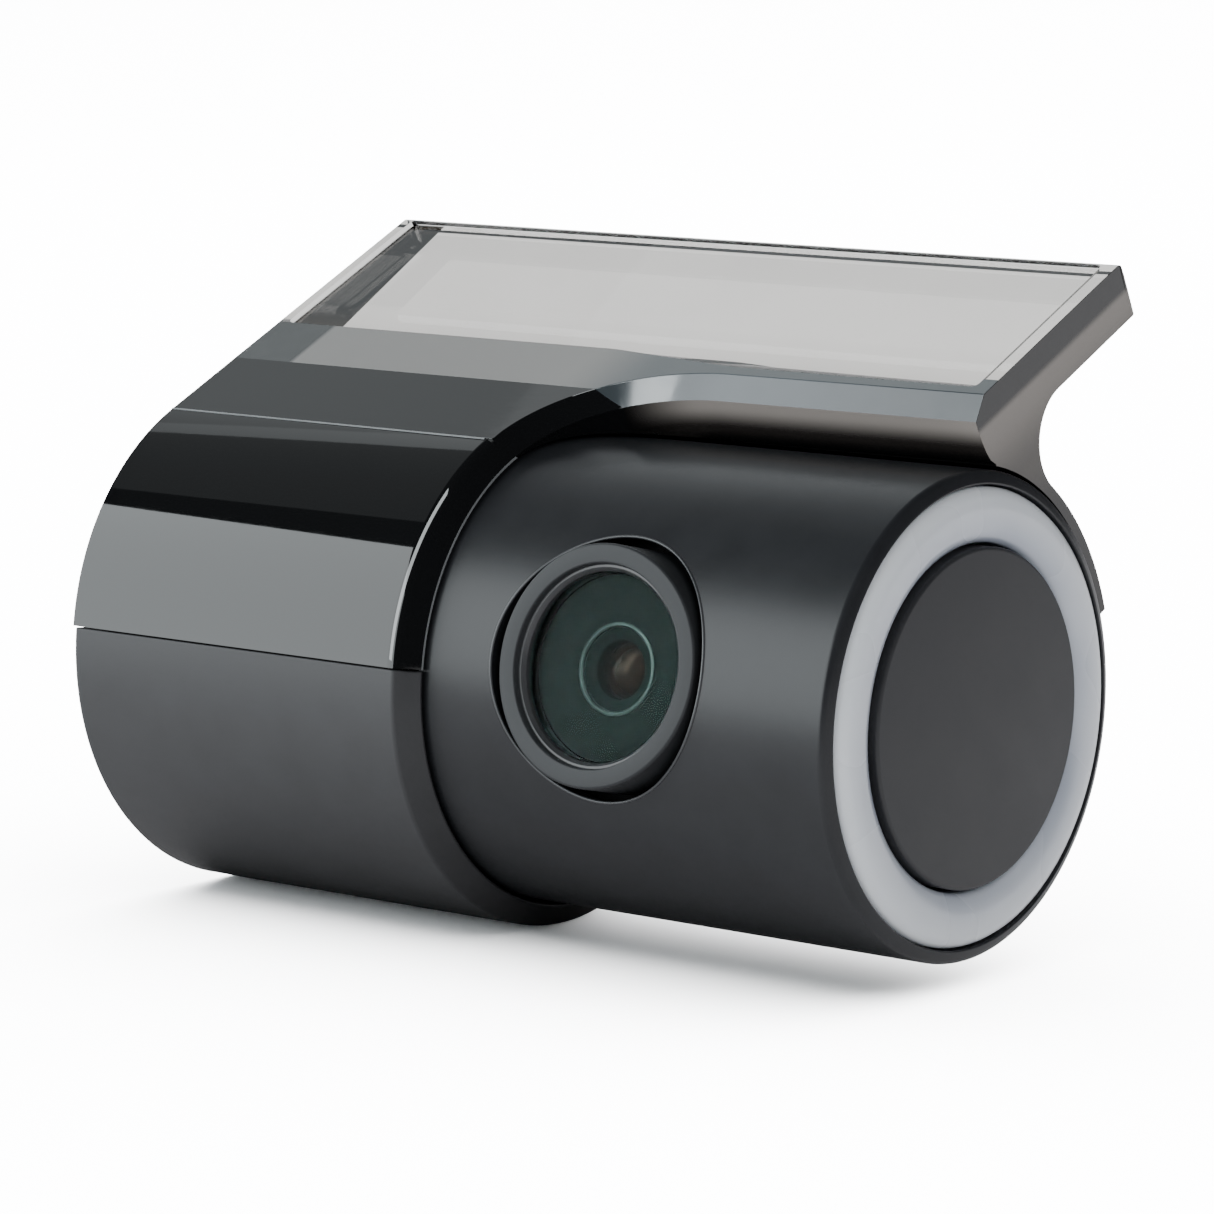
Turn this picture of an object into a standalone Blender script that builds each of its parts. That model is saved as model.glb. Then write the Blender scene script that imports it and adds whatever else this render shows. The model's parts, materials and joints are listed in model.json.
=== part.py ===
"""Dash camera: a cylindrical camera body that turns in the sleeve of a windscreen bracket.

Units are metres, +Z is up. The origin is the middle of the bracket's adhesive face, where the
object is fastened, +X runs along the barrel towards the light ring, and -Y is the side that the
lens looks to. Shapes are drawn in the barrel's own frame, whose origin is on the barrel's axis
at its right-hand edge, and an empty carries them to their place.
"""

from math import acos, atan2, cos, degrees, pi, radians, sin, sqrt

import bmesh
import bpy
from mathutils import Vector

MM = 0.001

# Driving dimensions.
BARREL_R = 18.0 * MM
SLEEVE_R = 20.15 * MM
BORE_R = 18.3 * MM
SADDLE_R = 19.26 * MM
SLEEVE_LEFT = -70.7 * MM
SLEEVE_RIGHT = -37.75 * MM
SLEEVE_LIP = -36.4 * MM
BRACKET_RIGHT = -0.5 * MM
SEAM_ANGLE = 6.5

# The plate is tangent to the sleeve and rises to the back. Its outline is drawn in a frame
# turned by its slope: u runs up the plate and v out of it, both from the barrel's axis.
PLATE_SLOPE = 25.2
PLATE_TOP = SLEEVE_R
PLATE_UNDER = 15.7 * MM
PLATE_BACK = 31.5 * MM
NOSE_TIP = (10.0 * MM, 18.8 * MM)
NOSE_TOP_U = 11.9 * MM
NECK_FILLET_R = 4.2 * MM
SADDLE_TIP_ANGLE = 16.7
NOSE_ROOT_ANGLE = 78.5
RECESS_DEPTH = 0.4 * MM
RECESS_U = (13.9 * MM, 30.9 * MM)
RECESS_X = (-69.8 * MM, -1.8 * MM)

# The front edge of the plate leaves the sleeve in a quarter of an ellipse.
SWEEP_CENTRE_X = -23.4 * MM
SWEEP_LENGTH = 14.1 * MM
SWEEP_DEPTH = 11.7 * MM

# The lens looks forward and a little up at rest, and its own frame has +X out of the camera.
LENS_X = -20.6 * MM
LENS_RISE = 12.6
LENS_HOLE_R = 9.7 * MM

# The camera body is thinner inside the sleeve, where the friction rings run.
NECK_R = 17.0 * MM
BARREL_STEP = -37.2 * MM
BARREL_LEFT = -69.0 * MM
WALL_BORE_R = 16.2 * MM
NECK_BORE_R = 15.4 * MM
RING_SEAT_R = 16.95 * MM
RING_SEAT_X = -3.1 * MM
END_CAP_FACE = -70.2 * MM

# Vent slots in the lower back of the barrel, and speaker slots in its back.
VENT_X = -29.0 * MM
VENT_ANGLE = 215
SPEAKER_X = -13.4 * MM
SLOT_PITCH = 2.6 * MM

BOARD_FRONT = 5.0 * MM
BOARD_BACK = 6.2 * MM
VIDEO_Z = -3.9 * MM
BUTTON_Z = -9.7 * MM
GAP = 0.3 * MM
FINE_STEPS = 64
SMALL_STEPS = 24


def clear_scene():
    for obj in list(bpy.data.objects):
        bpy.data.objects.remove(obj)


def finish(name, colour, roughness, metallic=0.0, transmission=0.0):
    """A Principled material."""
    material = bpy.data.materials.new(name)
    material.use_nodes = True
    shader = material.node_tree.nodes["Principled BSDF"]
    shader.inputs["Base Color"].default_value = (*colour, 1.0)
    shader.inputs["Roughness"].default_value = roughness
    shader.inputs["Metallic"].default_value = metallic
    shader.inputs["Transmission Weight"].default_value = transmission
    return material


def empty(name, parent=None, location=(0, 0, 0), rotation=(0, 0, 0)):
    obj = bpy.data.objects.new(name, None)
    bpy.context.collection.objects.link(obj)
    obj.parent = parent
    obj.location = location
    obj.rotation_euler = rotation
    return obj


def place(name, bm, parent, material=None, location=(0, 0, 0)):
    """Turns a bmesh into an object, with round surfaces smooth and edges over 30 degrees sharp."""
    bmesh.ops.remove_doubles(bm, verts=bm.verts, dist=1e-7)
    bmesh.ops.recalc_face_normals(bm, faces=bm.faces)
    mesh = bpy.data.meshes.new(name)
    bm.to_mesh(mesh)
    bm.free()
    mesh.shade_smooth()
    mesh.set_sharp_from_angle(angle=radians(30))
    if material:
        mesh.materials.append(material)
    obj = bpy.data.objects.new(name, mesh)
    bpy.context.collection.objects.link(obj)
    obj.parent = parent
    obj.location = location
    return obj


def boolean(obj, other, operation, meets_itself):
    modifier = obj.modifiers.new(operation.lower(), "BOOLEAN")
    modifier.object = other
    modifier.operation = operation
    modifier.solver = "EXACT"
    modifier.use_self = meets_itself


def hide(obj):
    obj.hide_render = True
    obj.display_type = "WIRE"
    return obj


def cut(obj, *cutters, meets_itself=False):
    for cutter in cutters:
        boolean(obj, hide(cutter), "DIFFERENCE", meets_itself)


def join(obj, *others, meets_itself=False):
    for other in others:
        boolean(obj, hide(other), "UNION", meets_itself)


def arc(centre, radius, start, end, steps):
    """Points on an arc, angles in degrees, both ends included."""
    points = []
    for i in range(steps + 1):
        angle = radians(start + (end - start) * i / steps)
        points.append((centre[0] + radius * cos(angle), centre[1] + radius * sin(angle)))
    return points


def loops_to_solid(loops):
    """Skins equal loops of points and caps the first and the last."""
    bm = bmesh.new()
    rows = [[bm.verts.new(point) for point in loop] for loop in loops]
    for row, following in zip(rows, rows[1:]):
        for i in range(len(row)):
            j = (i + 1) % len(row)
            bm.faces.new((row[i], row[j], following[j], following[i]))
    bm.faces.new(rows[0])
    bm.faces.new(list(reversed(rows[-1])))
    return bm


def prism(outline, low_x, high_x):
    """An outline of (y, z) points, extruded along X."""
    return loops_to_solid([[(x, y, z) for y, z in outline] for x in (low_x, high_x)])


def turned(profile, steps=FINE_STEPS, start=0.0, end=360.0):
    """A profile of (x, radius) points turned about X. It is closed when it keeps off the axis."""
    full = end - start >= 360.0
    on_axis = profile[0][1] == 0.0
    bm = bmesh.new()
    rows = []
    for i in range(steps if full else steps + 1):
        angle = radians(start + (end - start) * i / steps)
        rows.append([bm.verts.new((x, r * cos(angle), r * sin(angle))) for x, r in profile])
    count = len(profile) if not on_axis else len(profile) - 1
    pairs = list(zip(rows, rows[1:]))
    if full:
        pairs.append((rows[-1], rows[0]))
    for row, following in pairs:
        for i in range(count):
            j = (i + 1) % len(profile)
            corners = [row[i], row[j], following[j], following[i]]
            if profile[i][1] == 0.0:
                corners.pop()
            if profile[j][1] == 0.0:
                corners.pop(1)
            bm.faces.new(corners)
    if not full:
        bm.faces.new(rows[0])
        bm.faces.new(list(reversed(rows[-1])))
    return bm


def block(low, high):
    """A box between two corners."""
    (x0, y0, z0), (x1, y1, z1) = low, high
    return prism([(y0, z0), (y1, z0), (y1, z1), (y0, z1)], x0, x1)


def rod(radius, low_x, high_x, steps=SMALL_STEPS):
    """A solid cylinder along X."""
    return turned([(low_x, 0.0), (low_x, radius), (high_x, radius), (high_x, 0.0)], steps)


def ring(inner, outer, low_x, high_x, steps=FINE_STEPS):
    return turned([(low_x, outer), (high_x, outer), (high_x, inner), (low_x, inner)], steps)


def plate_point(u, v):
    """A point of the plate's turned frame, as (y, z)."""
    slope = radians(PLATE_SLOPE)
    return (u * cos(slope) - v * sin(slope), u * sin(slope) + v * cos(slope))


def neck_fillet(shell_r):
    """The fillet under the plate, tangent to the saddle: its centre and where it meets a shell."""
    height = PLATE_UNDER - NECK_FILLET_R
    reach = SADDLE_R + NECK_FILLET_R
    along = sqrt(reach**2 - height**2)
    spread = (reach**2 + shell_r**2 - NECK_FILLET_R**2) / (2 * reach * shell_r)
    meeting = atan2(height, along) + acos(min(1.0, spread))
    end = atan2(shell_r * sin(meeting) - height, shell_r * cos(meeting) - along)
    return (along, height), degrees(meeting), degrees(end) % 360


def plate_and_neck(shell_r, front_u, shell_end):
    """The outline from the plate's front edge over the back to the end of the shell."""
    centre, meeting, fillet_end = neck_fillet(shell_r)
    outline = [(front_u, PLATE_TOP)]
    outline += [(PLATE_BACK - 0.5 * MM, PLATE_TOP), (PLATE_BACK, PLATE_TOP - 0.5 * MM)]
    outline += [(PLATE_BACK + 0.7 * MM, PLATE_UNDER + 0.5 * MM)]
    outline += [(PLATE_BACK + 0.3 * MM, PLATE_UNDER)]
    outline += arc(centre, NECK_FILLET_R, 90, fillet_end, 8)
    outline += arc((0, 0), shell_r, meeting, shell_end, 8)[1:]
    return outline


def saddle_outline():
    """The bracket right of the sleeve: plate, nose, neck and the saddle behind the barrel."""
    tip = SADDLE_TIP_ANGLE - PLATE_SLOPE
    root = NOSE_ROOT_ANGLE - PLATE_SLOPE
    outline = plate_and_neck(SADDLE_R, NOSE_TOP_U, tip)
    outline += arc((0, 0), BORE_R, tip - 0.5, root, 14)
    outline += [(10.5 * MM, 15.3 * MM), (10.1 * MM, 17.0 * MM), NOSE_TIP]
    return [plate_point(u, v) for u, v in outline]


def sleeve_outline():
    """The bracket over the sleeve: the plate, and a shell from the back seam to the front one."""
    back = SEAM_ANGLE - PLATE_SLOPE
    front = 180 - SEAM_ANGLE - PLATE_SLOPE
    outline = plate_and_neck(SLEEVE_R, 0.0, back)
    outline += arc((0, 0), BORE_R, back, front, 24)
    outline += arc((0, 0), SLEEVE_R, front, 90, 10)[:-1]
    return [plate_point(u, v) for u, v in outline]


def sweep_web_outline():
    """The part of the plate that carries on past the sleeve before the swept edge trims it."""
    reach = 14.5 * MM
    outline = [(0.0, PLATE_TOP), (reach, PLATE_TOP)]
    outline += arc((0, 0), BORE_R, 37, 90, 8)
    return [plate_point(u, v) for u, v in outline]


def sweep_cutter():
    """Everything in front of the swept edge, whose slanted wall turns into the nose's top."""
    steps = 10
    forward = -28.0 * MM
    beyond = 8.0 * MM
    upper = [(SWEEP_CENTRE_X - SWEEP_LENGTH, forward)]
    lower = [(SLEEVE_LIP + 0.1 * MM, forward, BARREL_R)]
    for i in range(steps + 1):
        turn = pi / 2 * i / steps
        x = SWEEP_CENTRE_X - SWEEP_LENGTH * cos(turn)
        u = SWEEP_DEPTH * sin(turn)
        share = sin(turn) ** 2
        upper.append((x, u))
        low_x = x + (SLEEVE_LIP + 0.1 * MM - SWEEP_CENTRE_X + SWEEP_LENGTH) * cos(turn)
        low_u = u - (SWEEP_DEPTH - NOSE_TIP[0] + 0.1 * MM) * share
        lower.append((low_x, low_u, BARREL_R + (NOSE_TIP[1] - BARREL_R) * share))
    upper += [(beyond, SWEEP_DEPTH), (beyond, forward)]
    lower += [(beyond, NOSE_TIP[0] - 0.1 * MM, NOSE_TIP[1]), (beyond, forward, NOSE_TIP[1])]
    heights = (PLATE_TOP + 5 * MM, PLATE_TOP + 0.01 * MM)
    loops = [[(x, *plate_point(u, v)) for x, u in upper] for v in heights]
    loops.append([(x, *plate_point(u, v)) for x, u, v in lower])
    loops.append([(x, *plate_point(u, -5 * MM)) for x, u, _ in lower])
    return loops_to_solid(loops)


def ring_face_cutter(start, end):
    """Slants the sleeve's right-hand face, between two angles about the axis."""
    over = SLEEVE_R + 1.0 * MM
    inner = BARREL_R
    right = SLEEVE_LIP + 1.0 * MM
    profile = [(SLEEVE_RIGHT, SLEEVE_R), (SLEEVE_LIP, inner), (right, inner), (right, over)]
    profile.append((SLEEVE_RIGHT, over))
    return turned(profile, 12, start, end)


def recess_cutter():
    floor = PLATE_TOP - RECESS_DEPTH
    over = PLATE_TOP + 1.0 * MM
    corners = [(RECESS_U[0], floor), (RECESS_U[1], floor), (RECESS_U[1], over), (RECESS_U[0], over)]
    return prism([plate_point(u, v) for u, v in corners], *RECESS_X)


def make_bracket(axis, material):
    bracket = place("mount_bracket", prism(sleeve_outline(), SLEEVE_LEFT, SLEEVE_LIP), axis, material)
    start = SLEEVE_LIP - 2.0 * MM
    saddle = place("saddle_block", prism(saddle_outline(), start, BRACKET_RIGHT), axis)
    web = place("web_block", prism(sweep_web_outline(), start, SWEEP_CENTRE_X + 4 * MM), axis)
    join(bracket, saddle, web, meets_itself=True)
    front = 180 - SEAM_ANGLE
    cut(
        bracket,
        place("sweep_cutter", sweep_cutter(), axis),
        place("front_slant_cutter", ring_face_cutter(90 + PLATE_SLOPE, front + 1), axis),
        place("recess_cutter", recess_cutter(), axis),
        meets_itself=True,
    )


def make_lower_cover(axis, material):
    """The matte half of the sleeve, from the front seam under the barrel to the back seam."""
    seam_gap = 0.5
    profile = [(SLEEVE_LEFT, BORE_R), (SLEEVE_LEFT, SLEEVE_R - 0.4 * MM)]
    profile += [(SLEEVE_LEFT + 0.4 * MM, SLEEVE_R), (SLEEVE_RIGHT, SLEEVE_R)]
    profile += [(SLEEVE_LIP, BORE_R + 0.2 * MM), (SLEEVE_LIP, BORE_R)]
    start = 180 - SEAM_ANGLE + seam_gap
    shell = turned(profile, 34, start, 360 + SEAM_ANGLE - seam_gap)
    place("sleeve_lower_cover", shell, axis, material)


def make_friction_rings(axis, material):
    for name, middle in (("friction_ring_right", -43.0 * MM), ("friction_ring_left", -63.0 * MM)):
        band = ring(NECK_R + 0.2 * MM, BORE_R - 0.2 * MM, -1.5 * MM, 1.5 * MM)
        place(name, band, axis, material, (middle, 0, 0))


def slot_cutter(name, parent, x, angle, length, width, depth=(12.0, 22.0)):
    """A round-ended slot through the barrel's wall, long way round the barrel."""
    outline = arc((length / 2, 0), width / 2, -90, 90, 4) + arc((-length / 2, 0), width / 2, 90, 270, 4)
    loops = [[(py, px, level * MM) for px, py in outline] for level in depth]
    cutter = place(name, loops_to_solid(loops), parent)
    cutter.location = (x, 0, 0)
    cutter.rotation_euler = (radians(angle), 0, 0)
    return cutter


def make_barrel(camera, lens, material):
    profile = [(BARREL_LEFT, NECK_BORE_R), (BARREL_LEFT, NECK_R), (BARREL_STEP, NECK_R)]
    profile += [(BARREL_STEP, BARREL_R), (-0.3 * MM, BARREL_R), (0.0, BARREL_R - 0.3 * MM)]
    profile += [(0.43 * MM, RING_SEAT_R), (RING_SEAT_X, RING_SEAT_R), (RING_SEAT_X, WALL_BORE_R)]
    profile += [(BARREL_STEP - 1.6 * MM, WALL_BORE_R), (BARREL_STEP - 1.6 * MM, NECK_BORE_R)]
    barrel = place("camera_barrel", turned(profile), camera, material)
    cut(barrel, place("lens_hole_cutter", rod(LENS_HOLE_R, 8 * MM, 24 * MM, 48), lens))
    for i in range(5):
        x = VENT_X + i * SLOT_PITCH
        cut(barrel, slot_cutter(f"vent_cutter_{i + 1}", camera, x, VENT_ANGLE, 7 * MM, 1.1 * MM))
    for i in range(3):
        x = SPEAKER_X + i * SLOT_PITCH
        cut(barrel, slot_cutter(f"speaker_slot_cutter_{i + 1}", camera, x, 270, 5 * MM, 1.0 * MM))


def make_light_end(camera, frosted, satin, board, led):
    """The light ring, the disc inside it, and the lamp board behind them."""
    inner = 12.75 * MM
    outer = 16.8 * MM
    face = 0.43 * MM
    crown = arc(((inner + outer) / 2, face - 0.6 * MM), (outer - inner) / 2, 10, 170, 8)
    profile = [(-2.9 * MM, inner), (-2.9 * MM, outer), (face - 0.5 * MM, outer)]
    profile += [(face - 0.5 * MM + (x - face + 0.6 * MM) * 0.5, r) for r, x in crown]
    profile += [(face - 0.5 * MM, inner)]
    place("light_ring", turned(profile, 56), camera, frosted)
    disc = [(-1.4 * MM, 0.0), (-1.4 * MM, 12.5 * MM), (0.65 * MM, 12.5 * MM), (0.9 * MM, 12.2 * MM)]
    place("end_disc", turned(disc + [(0.9 * MM, 0.0)], 48), camera, satin)
    place("lamp_board", ring(7 * MM, 15.9 * MM, -5.5 * MM, -4.5 * MM, 36), camera, board)
    lamps = 6
    for i in range(lamps):
        size = Vector((0.8, 2.0, 1.4)) * MM / 2
        angle = 2 * pi * i / lamps
        lamp = place(f"lamp_{i + 1}", block(-size, size), camera, led)
        lamp.location = (-3.8 * MM, 14.6 * MM * cos(angle), 14.6 * MM * sin(angle))
        lamp.rotation_euler = (angle, 0, 0)


def make_lens(lens, finishes):
    """The lens stack, from the trim ring back to the sensor, in the lens's own frame."""
    black, trim, glass = finishes["satin_black"], finishes["trim_grey"], finishes["lens_glass"]
    flange = [(10.0, 10.6), (11.0, 10.6), (11.0, 8.94), (17.8, 8.94), (18.0, 8.75), (18.0, 7.7)]
    flange += [(17.8, 7.5), (10.0, 7.5)]
    cell = [(16.4, 7.0), (16.4, 7.4), (17.5, 7.4), (17.5, 7.2), (17.2, 7.0)]
    baffle = [(15.3, 3.5), (14.4, 3.5), (14.4, 6.85), (15.7, 6.85), (15.7, 6.5)]
    tube = [(2.4, 4.9), (2.4, 5.95), (10.6, 5.95), (11.4, 7.2), (15.7, 7.2), (15.7, 6.95)]
    tube += [(14.1, 6.95), (14.1, 4.9)]
    holder_bore = 6.25
    front = [(15.9, 0.0), (16.0, 6.9), (16.9, 6.9), (17.1, 5.0), (17.25, 2.5), (17.3, 0.0)]
    second = [(12.3, 0.0), (12.3, 3.2), (13.6, 3.2), (13.9, 1.6), (14.0, 0.0)]
    rear = [(4.0, 0.0), (4.4, 4.6), (6.0, 4.6), (6.6, 2.4), (6.8, 0.0)]
    stop = [(9.6, 1.3), (9.6, 4.6), (10.2, 4.6), (10.2, 1.3)]
    filter_glass = [(1.3, 0.0), (1.3, 5.7), (1.8, 5.7), (1.8, 0.0)]
    turned_parts = (
        ("lens_trim_ring", flange, 48, trim),
        ("lens_retaining_ring", cell, 48, black),
        ("lens_front_element", front, 40, glass),
        ("lens_baffle", baffle, 40, black),
        ("lens_tube", tube, 40, black),
        ("lens_second_element", second, 24, glass),
        ("aperture_stop", stop, 24, black),
        ("lens_rear_element", rear, 24, glass),
        ("infrared_filter", filter_glass, 24, glass),
    )
    for name, profile, steps, material in turned_parts:
        place(name, turned([(x * MM, r * MM) for x, r in profile], steps), lens, material)
    half = 8.0 * MM
    holder = place("lens_holder", block((-0.7 * MM, -half, -half), (7 * MM, half, half)), lens, black)
    cut(holder, place("holder_bore_cutter", rod(holder_bore * MM, -2 * MM, 8 * MM, 32), lens))
    chip = block((-0.7 * MM, -3.9 * MM, -3.9 * MM), (0.6 * MM, 3.9 * MM, 3.9 * MM))
    place("image_sensor", chip, lens, finishes["chip"])
    sensor_board = block((-2 * MM, -11 * MM, -10.5 * MM), (-1 * MM, 11 * MM, 10.5 * MM))
    place("sensor_board", sensor_board, lens, finishes["board"])
    plug = block((-4.7 * MM, -4 * MM, -1.5 * MM), (-2.3 * MM, 4 * MM, 1.5 * MM))
    place("board_connector", plug, lens, finishes["chip"])


def make_chassis(camera, material):
    """A cage of two rings and two rails that carries the boards and takes the cap's screws."""
    chassis = place("inner_chassis", ring(12.6 * MM, 15 * MM, -65.8 * MM, -63.8 * MM, 48), camera, material)
    right = place("chassis_ring_block", ring(12.6 * MM, 15.8 * MM, -8.0 * MM, -6.0 * MM, 48), camera)
    join(chassis, right)
    for side, name in ((1, "upper"), (-1, "lower")):
        low = (-65 * MM, -3.5 * MM, side * 11.6 * MM)
        high = (-7 * MM, 3.5 * MM, side * 13.6 * MM)
        rail = block(low, high)
        join(chassis, place(f"{name}_rail_block", rail, camera))


def make_boards(camera, finishes):
    """The main board across the barrel, and what stands on its two sides."""
    board = block((-66 * MM, BOARD_FRONT, -10.5 * MM), (-8.5 * MM, BOARD_BACK, 10.5 * MM))
    place("main_board", board, camera, finishes["board"])
    back = BOARD_BACK + GAP
    front = BOARD_FRONT - GAP
    chip, black, steel = finishes["chip"], finishes["satin_black"], finishes["steel"]
    blocks = (
        ("processor", (-45, 6.5, -7), (-31, 7.7, 7), chip),
        ("thermal_pad", (-44, 8.0, -6), (-32, 8.8, 6), finishes["thermal_grey"]),
        ("memory_chip", (-42, 3.7, -4), (-34, 4.7, 4), chip),
        ("wireless_antenna", (-41, 3.7, -9.4), (-35, 4.7, -7.4), finishes["led_white"]),
        ("button_switch", (-66.2, 1.2, -11.2), (-62.6, 4.7, -8.2), steel),
    )
    for name, low, high, material in blocks:
        solid = block([value * MM for value in low], [value * MM for value in high])
        place(name, solid, camera, material)
    capsule = rod(2 * MM, 0, 1.6 * MM, 16)
    microphone = place("microphone", capsule, camera, steel, (-36 * MM, front, 7.6 * MM))
    microphone.rotation_euler = (0, 0, -pi / 2)
    cone = [(0.0, 0.0), (0.0, 7.0 * MM), (2.6 * MM, 7.0 * MM), (3.8 * MM, 5.6 * MM), (3.2 * MM, 0.0)]
    speaker = place("speaker", turned(cone, 32), camera, black, (-17 * MM, back, 0))
    speaker.rotation_euler = (0, 0, pi / 2)
    for number, z in ((1, 5.2), (2, -5.2)):
        can = turned([(0.0, 0.0), (0.0, 3.6 * MM), (0.4 * MM, 4 * MM), (15.6 * MM, 4 * MM),
                      (16 * MM, 3.6 * MM), (16 * MM, 0.0)], 24)
        place(f"backup_capacitor_{number}", can, camera, steel, (-61 * MM, 0.4 * MM, z * MM))


def make_heat_sink(camera, material):
    """A finned block on the processor, its fins along the barrel."""
    foot, root, tip = 9.1 * MM, 10.3 * MM, 12.4 * MM
    half, fins, thick = 8.0 * MM, 5, 1.2 * MM
    pitch = (2 * half - thick) / (fins - 1)
    outline = [(foot, half), (foot, -half)]
    for i in range(fins):
        low = -half + i * pitch
        outline += [(tip, low), (tip, low + thick)]
        if i < fins - 1:
            outline += [(root, low + thick), (root, low + pitch)]
    place("heat_sink", prism(outline, -48 * MM, -28 * MM), camera, material)


def make_ports(camera, finishes):
    """The sockets on the main board's left edge, and the memory card in its holder."""
    black, steel = finishes["satin_black"], finishes["steel"]
    shell = block((-69.8 * MM, 1.5 * MM, 0.3 * MM), (-62.4 * MM, 4.7 * MM, 9.3 * MM))
    power = place("power_socket", shell, camera, steel)
    mouth = block((-72 * MM, 1.9 * MM, 0.8 * MM), (-64 * MM, 4.3 * MM, 8.8 * MM))
    tongue = block((-69.2 * MM, 2.8 * MM, 1.8 * MM), (-63.5 * MM, 3.4 * MM, 7.8 * MM))
    cut(power, place("power_mouth_cutter", mouth, camera))
    join(power, place("power_tongue_block", tongue, camera))
    jack = [(7.4, 0.0), (7.4, 2.4), (0.0, 2.4), (0.0, 1.25), (1.0, 1.25), (1.0, 0.0)]
    body = [(x * MM, r * MM) for x, r in jack]
    place("video_socket", turned(body, 24), camera, black, (-69.8 * MM, 2.2 * MM, VIDEO_Z))
    holder = block((-66 * MM, 6.5 * MM, -7 * MM), (-52 * MM, 9.0 * MM, 7 * MM))
    socket = place("card_socket", holder, camera, steel)
    pocket = block((-68 * MM, 7.15 * MM, -5.9 * MM), (-53 * MM, 8.35 * MM, 5.9 * MM))
    cut(socket, place("card_pocket_cutter", pocket, camera))
    card = [(-69.7, -5.5), (-69.7, 5.5), (-54.7, 5.5), (-54.7, -3.0), (-58.0, -3.0), (-59.2, -5.5)]
    loops = [[(x * MM, y * MM, z * MM) for x, z in card] for y in (7.4, 8.1)]
    place("memory_card", loops_to_solid(loops), camera, black)


def make_end_cap(camera, finishes):
    """The barrel's left-hand end: openings for the sockets, the card, the button and screws."""
    flange, plug, inside = 17.9 * MM, 15.1 * MM, 13.6 * MM
    face, back = END_CAP_FACE, -68.2 * MM
    profile = [(face, 0.0), (face, flange - 0.5 * MM), (face + 0.4 * MM, flange)]
    profile += [(BARREL_LEFT - GAP, flange), (BARREL_LEFT - GAP, plug), (-66.4 * MM, plug)]
    profile += [(-66.4 * MM, inside), (back, inside), (back, 0.0)]
    cap = place("end_cap", turned(profile), camera, finishes["matte_grey"])
    power = block((-71 * MM, 1.1 * MM, -0.1 * MM), (-67 * MM, 5.1 * MM, 9.7 * MM))
    card = block((-71 * MM, 7.05 * MM, -5.95 * MM), (-67 * MM, 8.45 * MM, 5.95 * MM))
    cut(cap, place("power_window_cutter", power, camera), place("card_window_cutter", card, camera))
    video = rod(2.75 * MM, -71 * MM, -67 * MM)
    button = rod(2.65 * MM, -71 * MM, -67 * MM)
    reset = rod(0.7 * MM, -71 * MM, -67 * MM, 12)
    cut(
        cap,
        place("video_window_cutter", video, camera, location=(0, 2.2 * MM, VIDEO_Z)),
        place("button_window_cutter", button, camera, location=(0, 2.8 * MM, BUTTON_Z)),
        place("reset_pinhole_cutter", reset, camera, location=(0, -2.6 * MM, -8.6 * MM)),
    )
    press = [(-70.6, 0.0), (-70.6, 2.1), (-70.3, 2.35), (-67.9, 2.35), (-67.9, 3.0)]
    press += [(-67.2, 3.0), (-67.2, 0.0)]
    place(
        "function_button",
        turned([(x * MM, r * MM) for x, r in press], 24),
        camera,
        finishes["satin_black"],
        (0, 2.8 * MM, BUTTON_Z),
    )
    for number, z in ((1, 7.5), (2, -7.5)):
        spot = (0, -8.6 * MM, z * MM)
        seat = turned([(-71 * MM, 0.0), (-71 * MM, 1.9 * MM), (-69.2 * MM, 1.9 * MM),
                       (-69.2 * MM, 1.2 * MM), (-66 * MM, 1.2 * MM), (-66 * MM, 0.0)], 16)
        cut(cap, place(f"screw_seat_cutter_{number}", seat, camera, location=spot))
        place(f"cap_screw_{number}", screw(), camera, finishes["steel"], spot)


def screw():
    """A pan-head screw along X, with a cross slot left to its recess."""
    profile = [(-70.0, 0.0), (-70.0, 0.6), (-70.15, 0.9), (-70.1, 1.3), (-69.9, 1.6)]
    profile += [(-69.5, 1.6), (-69.5, 0.85), (-66.6, 0.85), (-66.2, 0.4), (-66.2, 0.0)]
    return turned([(x * MM, r * MM) for x, r in profile], 16)


def make_finishes():
    return {
        "smoked_clear": finish("smoked_clear", (0.10, 0.10, 0.10), 0.03, transmission=0.8),
        "matte_grey": finish("matte_grey", (0.05, 0.05, 0.055), 0.6),
        "satin_black": finish("satin_black", (0.02, 0.021, 0.024), 0.4),
        "trim_grey": finish("trim_grey", (0.11, 0.12, 0.13), 0.4, 0.3),
        "frosted_light": finish("frosted_light", (0.55, 0.58, 0.63), 0.35),
        "lens_glass": finish("lens_glass", (0.01, 0.04, 0.035), 0.02, transmission=0.9),
        "board": finish("board", (0.02, 0.12, 0.05), 0.5),
        "chip": finish("chip", (0.03, 0.03, 0.03), 0.5),
        "led_white": finish("led_white", (0.8, 0.8, 0.75), 0.4),
        "thermal_grey": finish("thermal_grey", (0.3, 0.35, 0.42), 0.8),
        "steel": finish("steel", (0.5, 0.5, 0.5), 0.35, 1.0),
        "aluminium": finish("aluminium", (0.7, 0.7, 0.7), 0.4, 1.0),
        "rubber": finish("rubber", (0.03, 0.03, 0.03), 0.8),
    }


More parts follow.
